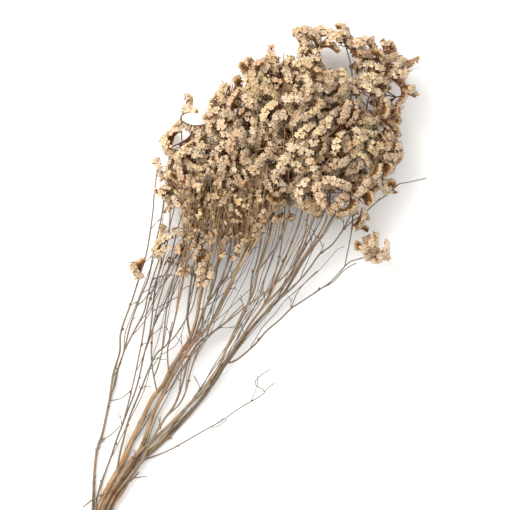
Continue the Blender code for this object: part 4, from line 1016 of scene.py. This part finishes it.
def smooth_line(points, radii, step):
    """Points and radii along a smooth curve through the given ones."""
    line, widths = [], []
    for i, (b, c) in enumerate(zip(points, points[1:])):
        a = points[max(i - 1, 0)]
        d = points[min(i + 2, len(points) - 1)]
        count = max(1, round((c - b).length / step))
        for k in range(count):
            t = k / count
            line.append(0.5 * (2 * b + (c - a) * t + (2 * a - 5 * b + 4 * c - d) * t ** 2
                               + (3 * b - a - 3 * c + d) * t ** 3))
            widths.append(radii[i] + (radii[i + 1] - radii[i]) * t)
    return line + [points[-1]], widths + [radii[-1]]


def grown(start, way, lengths, draw, share=1.0):
    """The points of a thin twig that wanders as it grows. lengths: the least and the most, in mm."""
    length = draw.uniform(*lengths) * MM * share
    line = [start]
    for k in range(GROWN_STEPS):
        line.append(line[-1] + way * length / GROWN_STEPS)
        way = (way + random_way(draw) * WANDER).normalized()
    return line


def calyx_shapes(sides):
    """Ragged papery calyces that open along Z: their corners, the faces and the corners' tones."""
    corners = [(0.0, 0.0, 0.0)]
    tones = [CALYX_ROOT_TONE]
    for height, radius, lobe, tone in CALYX:
        for k in range(sides):
            angle = 2 * math.pi * k / sides
            bulge = 1 + lobe * (-1) ** k
            r = radius * bulge
            up = height * (1 + CALYX_LOBE_RISE * (bulge - 1))
            corners.append((r * math.cos(angle), r * math.sin(angle), up))
            tones.append(tone - CALYX_RIB_TONE * (k % 2))
    corners.append((0.0, 0.0, CALYX_THROAT[0]))
    tones.append(CALYX_THROAT[1])
    last = len(corners) - 1
    top = last - sides
    faces = []
    for k in range(sides):
        after = (k + 1) % sides
        faces.append((0, 1 + after, 1 + k))
        faces.append((last, top + k, top + after))
        for first in range(1, top, sides):
            faces.append((first + k, first + after, first + after + sides, first + k + sides))
    plain = np.array(corners) * MM
    stray = np.random.default_rng(SEED).uniform(-1, 1, (CALYX_KINDS, *plain.shape))
    from_root = np.linalg.norm(plain, axis=1)[:, None]
    return plain + stray * from_root * CALYX_RAGGED, faces, np.array(tones)


WHOLE_CALYX = calyx_shapes(10)
SMALL_CALYX = calyx_shapes(6)
BRACT_CORNERS = np.array([
    (0, 0, 0), (1, 0, 0.45), (0, 0.3, 0.45), (-1, 0, 0.45), (0, -0.3, 0.45), (0, 0, 1)])
BRACT_FACES = [(0, 2, 1), (0, 3, 2), (0, 4, 3), (0, 1, 4), (5, 1, 2), (5, 2, 3), (5, 3, 4), (5, 4, 1)]
BRACT_TONES = np.array([0.1, 0.36, 0.36, 0.36, 0.36, 0.8])


def add_shape(pile, corners, scale, faces, tones, root, way, toward, shade, age, kind):
    """A small shape that opens along Z, scaled, turned to the way and moved to its root."""
    z = np.array(way)
    x = np.array(toward) - z * np.dot(toward, z)
    x /= np.linalg.norm(x)
    turn = np.column_stack([x, np.cross(z, x), z])
    corners = (corners * scale) @ turn.T + np.array(root)
    tints = np.column_stack([tones, np.full(len(corners), shade), np.full(len(corners), age)])
    pile.add(corners, faces, tints, corners, kind)


def add_calyx(pile, shapes, root, opens, size, width, draw, shade, age, kind):
    corners, faces, tones = shapes
    toward = random_way(draw)
    scale = np.array([size * width, size * width * draw.uniform(*CALYX_OVAL), size])
    corners = corners[draw.randrange(CALYX_KINDS)]
    add_shape(pile, corners, scale, faces, tones, root, opens, toward, shade, age, kind)


def add_bract(pile, root, way, toward, size, draw, age):
    """A small scale with a pale tip, thin in the way that toward gives."""
    scale = np.array([BRACT_WIDTH, BRACT_WIDTH, BRACT_LENGTH]) * size
    shade = draw.random()
    add_shape(pile, BRACT_CORNERS, scale, BRACT_FACES, BRACT_TONES, root, way, toward, shade, age, TWIG)


def add_fine_spike(pile, spike, draw, age, shapes, calyx_kind=CREAM):
    """A spike as a thin rachis with two ranks of calyces, each with two brown bracts."""
    line = [spike.start, spike.start + spike.way * spike.bare / 2]
    line += [spike.at(k / RACHIS_STEPS)[0] for k in range(RACHIS_STEPS + 1)]
    shade = draw.random()
    add_twig(pile, line, RACHIS, shade, age, draw)
    count = max(2, round(spike.length / FINE_STEP))
    few = veil(spike.at(0.5)[0])
    for k in range(count):
        if draw.random() < VEIL_LOSS * few:
            continue
        t = (k + 0.5 + draw.uniform(-STEP_STRAY, STEP_STRAY)) / count
        point, way, face = spike.at(t)
        side = 1 if k % 2 else -1
        lean = FINE_LEAN * side * draw.uniform(*LEAN_SWING)
        across = way.cross(face)
        opens = face * math.cos(lean) + across * math.sin(lean) + way * draw.uniform(*TILT)
        opens.normalize()
        size = (FOOT_SIZE - TIP_LOSS * t ** 2) * draw.uniform(*CALYX_SIZE) * (1 - VEIL_SHRINK * few)
        width = draw.uniform(*CALYX_SIZE) * (CLOSED_WIDTH if draw.random() < CLOSED_SHARE else 1)
        own_age = min(age + draw.choice(OLDER), max(age, 1.0))
        own_shade = clamp(shade + draw.uniform(-SHADE_SWING, SHADE_SWING))
        root = point + opens * FINE_ROOT
        add_calyx(pile, shapes, root, opens, size, width, draw, own_shade, own_age, calyx_kind)
        for base, toward, bract in ((opens, way, OUTER_BRACT), (face, across, INNER_BRACT)):
            out, aside, ahead, sizes = bract
            leaf = base * out + across * side * aside + way * draw.uniform(*ahead)
            add_bract(pile, point, leaf.normalized(), toward, draw.uniform(*sizes), draw, age)


def fine_beads(spike):
    """Beads round the calyces of a fine spike."""
    count = max(2, round(spike.length / BEAD_SPACING))
    places = [spike.at((k + 0.5) / count) for k in range(count)]
    return [(point + face * BEAD_RISE, BEAD_RADIUS) for point, way, face in places]


def add_extra_spike(spray, space, deep, draw):
    """One more spike on a spray's stalks, where there is room and the gaps are largest."""
    stalk = draw.choice(spray.stalks)
    others = space.near(stalk[-1], EXTRA_REACH)
    alone = spray.number in ALONE
    room = min(ALONE[spray.number][2:]) / ROOMY if alone else 1
    best = None
    for attempt in range(EXTRA_TRIES):
        run = draw.choice(EXTRA_RUNS) if len(stalk) > 3 else draw.randrange(len(stalk) - 1)
        start = stalk[run].lerp(stalk[run + 1], draw.random())
        trunk = (stalk[run + 1] - stalk[run]).normalized()
        out = outward(start)
        lift = draw.uniform(*(DEEP_RISE if deep else EXTRA_RISE))
        way = (trunk * EXTRA_AHEAD + out * lift + random_way(draw) * EXTRA_SWING).normalized()
        bare = draw.uniform(*EXTRA_FOOT) * MM * room
        florets = draw.randint(*EXTRA_FLORETS)
        face = outward(start + way * bare) + random_way(draw) * EXTRA_FACE_SWING
        if alone:
            face = UP + random_way(draw) * LONE_FACE_SWING
        spike = Spike(start, way, face, bare, florets, math.radians(draw.uniform(*EXTRA_CURL)))
        spots = [p for p, r in fine_beads(spike)]
        highest = max(p.z for p in spots)
        if min(p.z for p in spots) < HEADROOM or highest > TALLEST - HEADROOM:
            continue
        if deep and highest > DEEPEST:
            continue
        if not fits(spray.number, spots) or draw.random() < VEIL_EMPTY * veil(spots[0]):
            continue
        if any(in_ellipse(*on_drawing(p), o, OPENING_MARGIN) for p in spots for o in OPENINGS):
            continue
        foot = [(start + way * bare * t, FOOT_RADIUS) for t in FOOT_SPOTS]
        if not is_free([(p, BEAD_RADIUS - EXTRA_OVERLAP) for p in spots] + foot, -1, others):
            continue
        score = spread(spots, others, EXTRA_BEAD)
        if best is None or score > best[0]:
            best = (score, spike, foot)
    if best:
        space.add(fine_beads(best[1]) + best[2], spray.owner)
        return [best[1]]
    return []


def rise(value, start, full):
    """How far a value is on its way from start, at 0, to full, at 1."""
    return clamp((value - start) / (full - start))


def veil(point):
    """How far a point is into the brown lower part of the mass, where florets are few: 0 to 1."""
    x, y = on_drawing(point)
    later = y + VEIL_SLANT * (x - VEIL_MIDDLE)
    return rise(x, *VEIL_LEFT) * rise(x, *VEIL_RIGHT) * rise(y, *VEIL_UPPER) * rise(later, *VEIL_LOWER)


def age_and_painted_light_of(point, draw):
    """How brown the florets are here: from 0, cream, to 1, brown. Over 1 they are reddish. Browner deep in
    the mass is painted shade, and paler at the right is painted light.
    """
    x, y = on_drawing(point)
    # paler at the left: partly the florets' own tone, partly painted light on the low left side
    left = rise(x, *PALER_LEFT)
    # painted light: paler at the right, where the key light leaves the mass in shade
    right = rise(x, *PAINTED_LIFT_RIGHT)
    low = rise(y, *BROWN_LOW) * max(rise(x, *BROWN_RIGHT), LEAST_RIGHT) * (1 - LEFT_OF_LOW * left)
    away = (point - place(*MASS_MIDDLE)) / MM
    from_middle = math.hypot(*(away[i] / MASS_HALF[i] for i in range(3)))
    # painted shade: browner the deeper a floret lies in the mass
    deep = min(rise(from_middle, *PAINTED_SHADE_DEEP), MOST_DEEP)
    deep *= DEEP_BELOW if y > BELOW_MASS else 1 - LEFT_OF_DEEP * left
    rosy = any(x > side and top < y < bottom for side, top, bottom in ROSY)
    if rosy and draw.random() < ROSY_SHARE:
        return ROSY_AGE
    age = PLAIN_AGE + PATCH_AGE * math.sin(x / 8.5 + 1.3) * math.sin(y / 7.5 + 0.4)
    age += sum(part * share for part, share in zip((left, right, low, deep, veil(point)), AGE_SHARES))
    if draw.random() < BROWNED_SHARES[x >= BROWNED_SIDE]:
        age += BROWNED_AGE
    return min(age + draw.uniform(*AGE_STRAY), 1.0)


def dress_stem(name, branches, materials):
    """The stem's branches as round wood, with knots, small scales and all their thin twigs."""
    draw = random.Random(f"{SEED} fine {name}")
    pile = Pile()
    add_long_twigs(pile, branches, draw)
    add_veil_twigs(pile, branches, draw)
    add_thicket(pile, branches, draw)
    for branch in branches:
        line, radii = smooth_line(branch.points, branch.radii, STEM_STEP)
        shade = draw.random()
        age = draw.random()
        lengths = np.concatenate([[0.0], np.cumsum([(b - a).length for a, b in zip(line, line[1:])])])
        knots = [k * KNOT_SPACING + draw.uniform(-KNOT_STRAY, KNOT_STRAY) * MM
                 for k in range(1, int(lengths[-1] / KNOT_SPACING))]
        swollen = []
        for along, radius in zip(lengths, radii):
            swell = sum(math.exp(-((along - knot) / KNOT_HALF) ** 2) for knot in knots)
            slim = SLIMMEST + (1 - SLIMMEST) * min(radius / FULL_RADIUS, 1)
            swollen.append(radius * slim * (1 + KNOT_SWELL * min(swell, 1)) * draw.uniform(*BUMPY))
        width = branch.radii[0]
        sides = STEM_SIDES[(width <= WIDE_TUBE) + (width <= NARROW_TUBE)]
        tints = [(THIN_TONE + THICK_TONE * (r / THICK_RADIUS), shade, age) for r in radii]
        add_tube(pile, line, swollen, sides, tints, BARK)
        for knot in knots:
            i = int(np.searchsorted(lengths, knot))
            if not 0 < i < len(line) - 1:
                continue
            way = (line[i + 1] - line[i - 1]).normalized()
            side = (random_way(draw) - way * random_way(draw).dot(way)).normalized()
            lean = (way + side * KNOT_BRACT_LEAN).normalized()
            size = draw.uniform(*BRACT_SIZES) * (1 + radii[i] / KNOT_BRACT_RADIUS)
            root = line[i] + side * radii[i] * KNOT_BRACT_ROOT
            add_bract(pile, root, lean, way.cross(side), size, draw, age)
            if draw.random() < TWIGLET_SHARE and lengths[i] > TWIGLET_START:
                add_twiglet(pile, line[i], way, draw, shade, age)
    return pile.piece(name + "_wood", materials, "stem")


def add_long_twigs(pile, branches, draw):
    """Thin twigs that leave the branches and run up beside them, with bits of flower on them."""
    for branch in branches:
        if not branch.bears or (branch.points[-1] - branch.points[0]).length < LONG_TWIG_BRANCH:
            continue
        line = smooth_line(branch.points, branch.radii, LONG_TWIG_STEP)[0]
        for number in range(draw.randint(1, LONG_TWIGS)):
            first = int(len(line) * draw.uniform(*LONG_TWIG_START))
            last = int(len(line) * draw.uniform(*LONG_TWIG_END))
            if last - first < LONG_TWIG_STEPS:
                continue
            side = UP.cross((line[first + 1] - line[first]).normalized()) * draw.choice([-1, 1])
            if draw.random() < abs(line[last - 1].y) / EDGE and side.y * line[last - 1].y > 0:
                side = -side
            stray = LONG_TWIG_STRAY * draw.uniform(LEAST_STRAY, 1)
            lift = draw.uniform(*LONG_TWIG_LIFT) * MM
            sway = draw.uniform(0, 2 * math.pi)
            twig = []
            for i in range(first, last):
                t = (i - first) / (last - first)
                sways = LONG_TWIG_SWAY * math.sin(SWAY_TURN * t + sway) * t
                away = side * (stray * t ** LONG_TWIG_RISE + sways)
                point = line[i] + away + UP * lift * t
                point.z = max(point.z, LONG_TWIG[0])
                twig.append(point)
            if on_drawing(twig[-1])[0] > LONE_SIDE:
                continue
            add_twig(pile, twig, LONG_TWIG, draw.random(), draw.random(), draw)
            add_bits(pile, twig, 1, draw)


def add_veil_twigs(pile, branches, draw):
    """Thin twigs that rise over the lower part of the mass, as its brown part in the photograph."""
    for branch in branches:
        line = smooth_line(branch.points, branch.radii, VEIL_STEP)[0]
        across = on_drawing(line[-1])[0]
        if not branch.bears or len(line) < VEIL_BRANCH or not VEIL_SIDES[0] < across < VEIL_SIDES[2]:
            continue
        if branch.bears in ALONE:
            continue
        ahead = (line[-1] - line[-4]).normalized()
        far = across > VEIL_SIDES[1]
        for number in range(1 if far else VEIL_TWIGS):
            route = line[int(len(line) * draw.uniform(*VEIL_START)):]
            route += [line[-1] + ahead * k * VEIL_STEP for k in range(1, draw.randint(*VEIL_BEYOND))]
            route = [p for p in route if on_drawing(p)[1] > VEIL_ENDS[far]]
            if len(route) < SHORTEST_TWIG:
                continue
            side = UP.cross(ahead) * draw.uniform(-VEIL_STRAY, VEIL_STRAY) * MM
            top = draw.uniform(*VEIL_TOP) * MM
            sway = draw.uniform(0, 2 * math.pi)
            twig = []
            for k, point in enumerate(route):
                t = k / (len(route) - 1)
                away = side * (t ** VEIL_RISE + VEIL_SWAY * math.sin(VEIL_SWAY_TURN * t + sway) * t)
                twig.append(point + away + UP * (top - point.z) * t ** VEIL_RISE)
            add_twig(pile, twig, VEIL_TWIG, draw.random() * VEIL_SHADE, draw.random(), draw)
            add_bits(pile, twig, VEIL_BITS, draw)


def add_thicket(pile, branches, draw):
    """Many fine brown twigs round the branches' ends, in the brown part under the blooms."""
    for branch in branches:
        line = smooth_line(branch.points, branch.radii, VEIL_STEP)[0]
        for here, after in zip(line, line[1:]):
            for number in range(THICKET_TWIGS):
                if draw.random() > veil(here):
                    continue
                way = (after - here).normalized() + random_way(draw) * THICKET_SWING
                way.z += draw.uniform(*THICKET_RISE)
                twig = grown(here, way.normalized(), THICKET_LENGTH, draw)
                if min(p.z for p in twig) < THICKET[0] or max(p.z for p in twig) > THICKET_TOP:
                    continue
                add_twig(pile, twig, THICKET, draw.random(), draw.random(), draw)
                add_bits(pile, twig, THICKET_BITS, draw)


def add_bits(pile, twig, share, draw):
    """Short side stalks with a few calyces, along the upper part of a thin twig."""
    along = 0.0
    for a, b in zip(twig, twig[1:]):
        along += (b - a).length
        if along < BIT_SPACING * draw.uniform(*BIT_STRAY):
            continue
        along = 0.0
        x, y = on_drawing(b)
        lowest = LOWEST_BIT[1] - BIT_SLANT * max(x - LOWEST_BIT[0], 0)
        fewer = (max(y - BITS_FULL, 0) / max(lowest - BITS_FULL, 1)) ** BITS_FALL
        if y > lowest or draw.random() > share * (1 - fewer):
            continue
        way = (b - a).normalized()
        side = square_to(way, random_way(draw))
        face = (side + UP * BIT_FACE_RISE).normalized()
        foot = draw.uniform(*BIT_FOOT) * MM
        spike = Spike(b, way + side * draw.uniform(*BIT_LEAN), face, foot, 1, BIT_CURL)
        spike.length = draw.uniform(*BIT_LENGTH) * MM
        if spike.at(1)[0].z < BIT_LOWEST:
            continue
        add_fine_spike(pile, spike, draw, draw.uniform(*BIT_AGE), SMALL_CALYX, STRAY_CREAM)


def add_twiglet(pile, start, way, draw, shade, age):
    """A short bare side twig with a fork."""
    side = random_way(draw)
    side.z *= TWIGLET_RISE
    side = square_to(way, side)
    if draw.random() < abs(start.y) / EDGE and side.y * start.y > 0:
        side.y = -side.y
    line = grown(start, (way + side * draw.uniform(*TWIGLET_LEAN)).normalized(), TWIGLET_LENGTH, draw)
    fork = grown(line[3], (line[3] - line[2] + side * FORK_LEAN).normalized(), FORK_LENGTH, draw)
    for twig in (line, fork):
        if min(p.z for p in twig) < TWIGLET[0]:
            return
        add_twig(pile, twig, TWIGLET, shade, age, draw)
        tip = (twig[-1] - twig[-2]).normalized()
        add_bract(pile, twig[-1] - tip * BUD_SUNK, tip, random_way(draw), BUD_SIZE, draw, age)


def add_thatch(pile, curve, spray, draw):
    """Fine side twigs all along a stalk, which fill the mass with brown between the spikes."""
    alone = spray.number in ALONE
    for number in range(LONE_THATCH_TWIGS if alone else THATCH_TWIGS):
        k = draw.randrange(len(curve) - 1)
        start = curve[k].lerp(curve[k + 1], draw.random())
        way = (curve[k + 1] - curve[k]).normalized() + random_way(draw) * THATCH_SWING
        low = number % 2 and not alone
        if low:
            way.z -= draw.uniform(*THATCH_FALL)
        line = grown(start, way.normalized(), THATCH_LENGTH, draw, LONE_THATCH if alone else 1)
        if min(p.z for p in line) < THATCH[0] or not fits(spray.number, line):
            continue
        add_twig(pile, line, LOW_THATCH if low else THATCH, draw.random(), draw.random(), draw)


def dress_spray(spray, extra, materials):
    """The spray's stalks, its spikes and the extra ones, fine."""
    draw = random.Random(f"{SEED} fine {spray.name}")
    pile = Pile()
    for curve in spray.stalks:
        add_thatch(pile, curve, spray, draw)
        line = smooth_line(curve, [STALK[0]] * len(curve), STALK_STEP)[0]
        shade, age = draw.random(), draw.random()
        add_twig(pile, line, STALK, shade, age, draw)
        for k in range(2, len(line) - 1, BRACT_PLACES):
            way = (line[k + 1] - line[k]).normalized()
            side = way.cross(random_way(draw)).normalized()
            leaf = (way + side * BRACT_LEAN).normalized()
            add_bract(pile, line[k], leaf, way.cross(side), draw.uniform(*BRACT_SIZES), draw, age)
    for spike in spray.spikes + extra:
        middle = spike.at(0.5)[0]
        shapes = SMALL_CALYX if middle.z < SMALL_BELOW and spike in extra else WHOLE_CALYX
        add_fine_spike(pile, spike, draw, age_and_painted_light_of(middle, draw), shapes)
    return pile.piece(spray.name + "_bloom", materials, "floret")


class Look:
    """A material, with the values and colours that its nodes make."""

    def __init__(self, name, specular):
        self.made = bpy.data.materials.new(name)
        self.made.use_nodes = True
        self.tree = self.made.node_tree
        self.shader = self.tree.nodes["Principled BSDF"]
        self.give(self.shader, {"Specular IOR Level": specular})

    def give(self, node, values):
        """Gives a node's inputs their values, or links them to the outputs that they come from."""
        for name, value in values.items():
            socket = node.inputs[name]
            if isinstance(value, bpy.types.NodeSocket):
                self.tree.links.new(value, socket)
            else:
                socket.default_value = (*value, 1) if socket.type == "RGBA" else value

    def node(self, kind, values, **settings):
        made = self.tree.nodes.new("ShaderNode" + kind)
        for name, setting in settings.items():
            setattr(made, name, setting)
        self.give(made, values)
        return made

    def ramp(self, value, *stops):
        made = self.node("ValToRGB", {"Fac": value})
        while len(made.color_ramp.elements) < len(stops):
            made.color_ramp.elements.new(0.5)
        for element, (at, *colour) in zip(made.color_ramp.elements, stops):
            element.position = at
            element.color = (*colour, 1)
        return made.outputs["Color"]

    def reach(self, value, low, high, out_low, out_high):
        """A value moved from one range to another, and held inside it."""
        ranges = {"From Min": low, "From Max": high, "To Min": out_low, "To Max": out_high}
        return self.node("MapRange", {"Value": value, **ranges}).outputs["Result"]

    def mix(self, colour, kind, other, value, none, full, most):
        """Another colour mixed in: not at all where a value is none, and by most where it is full."""
        inputs = {"Factor": self.reach(value, none, full, 0.0, most), "A": colour, "B": other}
        return self.node("Mix", inputs, data_type="RGBA", blend_type=kind).outputs["Result"]

    def noise(self, scale, detail=4.0, rough=0.55, where=None):
        if where is None:
            where = self.node("TexCoord", {}).outputs["Object"]
        values = {"Vector": where, "Scale": scale, "Detail": detail, "Roughness": rough}
        return self.node("TexNoise", values).outputs["Fac"]

    def tints(self):
        """The tone, the shade and the age that the corners carry."""
        tint = self.node("Attribute", {}, attribute_name="tint").outputs["Color"]
        return tuple(self.node("SeparateColor", {"Color": tint}).outputs)

    def finish(self, colour, rough, height, strength, distance):
        bump = self.node("Bump", {"Height": height, "Strength": strength, "Distance": distance})
        self.give(self.shader, {"Base Color": colour, "Roughness": rough, "Normal": bump.outputs["Normal"]})
        return self.made


def papery_cream():
    """The calyces: cream lobes, brown ribs, throat and root, each floret a little different."""
    look = Look("papery_cream", 0.25)
    tone, shade, age = look.tints()
    mottle = look.noise(700.0)
    fresh = look.ramp(tone, (0.0, 0.105, 0.042, 0.009), (0.30, 0.260, 0.116, 0.034),
                      (0.62, 0.550, 0.336, 0.150), (0.85, 0.755, 0.572, 0.366), (1.0, 0.785, 0.694, 0.560))
    old = look.ramp(tone, (0.0, 0.085, 0.032, 0.008), (0.4, 0.240, 0.108, 0.035),
                    (0.8, 0.460, 0.275, 0.128), (1.0, 0.630, 0.450, 0.268))
    rosy = look.ramp(tone, (0.0, 0.060, 0.025, 0.018), (0.6, 0.240, 0.120, 0.088),
                     (1.0, 0.560, 0.390, 0.300))
    # age brings in the brown: real browning, plus the painted shade inside the mass and the painted light
    # at its right
    colour = look.mix(fresh, "MIX", old, age, 0.05, 1.0, 0.85)
    colour = look.mix(colour, "MIX", rosy, age, 1.2, 1.6, 0.85)
    pinkish = look.mix(colour, "MULTIPLY", (0.98, 0.87, 0.83), shade, 0.55, 1.0, 0.8)
    yellowish = look.mix(pinkish, "MULTIPLY", (0.98, 0.94, 0.77), shade, 0.45, 0.0, 0.8)
    colour = look.mix(yellowish, "MULTIPLY", (0.72, 0.62, 0.50), mottle, 0.62, 0.35, 0.5)
    look.give(look.shader, {"Subsurface Weight": 0.18, "Subsurface Radius": (1.0, 0.7, 0.45),
                            "Subsurface Scale": 0.0015})
    rough = look.reach(mottle, 0.3, 0.7, 0.62, 0.85)
    return look.finish(colour, rough, look.noise(2600.0, 3.0), 0.35, 0.0003)


def brown_twig():
    """The stalks, rachises and bracts in the sprays."""
    look = Look("brown_twig", 0.3)
    tone, shade = look.tints()[:2]
    colour = look.ramp(tone, (0.0, 0.090, 0.034, 0.007), (0.3, 0.220, 0.092, 0.024),
                       (0.5, 0.310, 0.158, 0.052), (0.8, 0.540, 0.360, 0.195), (1.0, 0.740, 0.560, 0.370))
    colour = look.mix(colour, "MULTIPLY", (0.95, 0.72, 0.70), shade, 0.3, 1.0, 0.7)
    colour = look.mix(colour, "MULTIPLY", (0.55, 0.52, 0.50), look.noise(420.0), 0.65, 0.35, 0.75)
    return look.finish(colour, 0.78, look.noise(1800.0, 3.0), 0.4, 0.0003)


def bark():
    """The wood of the stems: tan, with reddish, olive and dark streaks that run along it."""
    look = Look("bark", 0.35)
    tone, shade = look.tints()[:2]
    run = look.node("Attribute", {}, attribute_name="run").outputs["Vector"]
    along = look.node("Mapping", {"Vector": run, "Scale": (0.045, 1.0, 1.0)}).outputs["Vector"]
    streaks = look.noise(1500.0, 5.0, 0.62, along)
    patches = look.noise(34.0, 3.0)
    colour = look.ramp(streaks, (0.32, 0.085, 0.046, 0.021), (0.46, 0.310, 0.184, 0.088),
                       (0.58, 0.480, 0.315, 0.162), (0.72, 0.690, 0.510, 0.315))
    thin = look.mix(colour, "MIX", (0.150, 0.128, 0.108), tone, 0.82, 0.58, 0.88)
    reddish = look.mix(thin, "MULTIPLY", (1.20, 0.76, 0.58), patches, 0.53, 0.68, 0.75)
    olive = look.mix(reddish, "MULTIPLY", (0.90, 1.02, 0.62), patches, 0.46, 0.33, 0.7)
    grey = look.mix(olive, "MIX", (0.175, 0.140, 0.105), shade, 0.6, 1.0, 0.6)
    blotched = look.mix(grey, "MULTIPLY", (0.45, 0.38, 0.33), look.noise(120.0), 0.44, 0.30, 0.8)
    return look.finish(blotched, look.reach(streaks, 0.3, 0.7, 0.82, 0.6), streaks, 0.55, 0.0006)


def pale_floor():
    look = Look("pale_floor", 0.1)
    look.give(look.shader, {"Base Color": (0.965, 0.962, 0.952), "Roughness": 0.9})
    mesh = bpy.data.meshes.new("floor")
    corners = [(x * FLOOR_HALF, y * FLOOR_HALF, 0) for x, y in ((-1, -1), (1, -1), (1, 1), (-1, 1))]
    mesh.from_pydata(corners, [], [(0, 1, 2, 3)])
    mesh.materials.append(look.made)
    floor = bpy.data.objects.new("floor", mesh)
    bpy.context.scene.collection.objects.link(floor)
    floor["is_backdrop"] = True


def light_up():
    """A large soft light from the photograph's upper left, and a pale world."""
    scene = bpy.context.scene
    scene.view_settings.view_transform = "Standard"
    world = bpy.data.worlds.new("studio")
    world.use_nodes = True
    back = world.node_tree.nodes["Background"]
    back.inputs["Color"].default_value = (1.0, 1.0, 1.0, 1)
    back.inputs["Strength"].default_value = WORLD_STRENGTH
    scene.world = world
    data = bpy.data.lights.new("key", "AREA")
    data.shape = "SQUARE"
    data.size = LIGHT_SIDE
    data.energy = LIGHT_WATTS
    data.color = LIGHT_COLOUR
    light = bpy.data.objects.new("key", data)
    way = in_bunch(*LIGHT_FROM).normalized()
    light.location = way * LIGHT_DISTANCE
    light.rotation_mode = "QUATERNION"
    light.rotation_quaternion = (-way).to_track_quat("-Z", "Y")
    scene.collection.objects.link(light)


def aim_camera():
    """A long lens straight above the middle of the photograph, turned as the photograph is."""
    middle = place(PHOTO_SIDE / 2, PHOTO_SIDE / 2)
    data = bpy.data.cameras.new("camera")
    data.sensor_width = SENSOR
    data.lens = SENSOR * (CAMERA_HEIGHT - SHARP_HEIGHT) / (PHOTO_SIDE * SQUARE)
    data.clip_end = 50.0
    camera = bpy.data.objects.new("camera", data)
    turn = Matrix((in_bunch(1, 0, 0), in_bunch(0, 1, 0), UP)).transposed()
    camera.location = (middle.x, middle.y, CAMERA_HEIGHT)
    camera.rotation_mode = "QUATERNION"
    camera.rotation_quaternion = turn.to_quaternion()
    bpy.context.scene.collection.objects.link(camera)
    bpy.context.scene.camera = camera


def fine_space(stems, sprays):
    """What the fine pieces fill so far."""
    space = Space()
    for branches in stems.values():
        for branch in branches:
            space.add(((p, r / tube_swell(r)) for p, r in branch.beads(BEAD_STEP)), -2)
    for spray in sprays.values():
        for curve in spray.stalks:
            space.add(zip(*smooth_line(curve, [STALK[0]] * len(curve), BEAD_STEP)), -2)
        for spike in spray.spikes:
            space.add(fine_beads(spike), spray.owner)
    return space


def main():
    for old in [o for o in bpy.data.objects if o.type in ("MESH", "LIGHT", "CAMERA")]:
        bpy.data.objects.remove(old)
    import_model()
    solid_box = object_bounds()
    stems, sprays = laid_out()
    wood, twig, cream = bark(), brown_twig(), papery_cream()
    for name, branches in stems.items():
        piece = dress_stem(name, branches, [wood, twig, cream])
        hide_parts(name)
    space = fine_space(stems, sprays)
    extras = {number: [] for number in sprays}
    for turn in range(EXTRA_SPIKES + DEEP_SPIKES):
        for number, spray in sprays.items():
            draw = random.Random(f"{SEED} extra {spray.name} {turn}")
            for again in spray.stalks:
                extras[number] += add_extra_spike(spray, space, turn >= EXTRA_SPIKES, draw)
    for number, spray in sprays.items():
        piece = dress_spray(spray, extras[number], [cream, twig])
        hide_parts(spray.name)
    pale_floor()
    light_up()
    aim_camera()
    bpy.context.view_layer.update()
    sizes = {"solids": solid_box, "looks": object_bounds()}
    sizes = {name: [list(corner) for corner in box] for name, box in sizes.items()}


main()
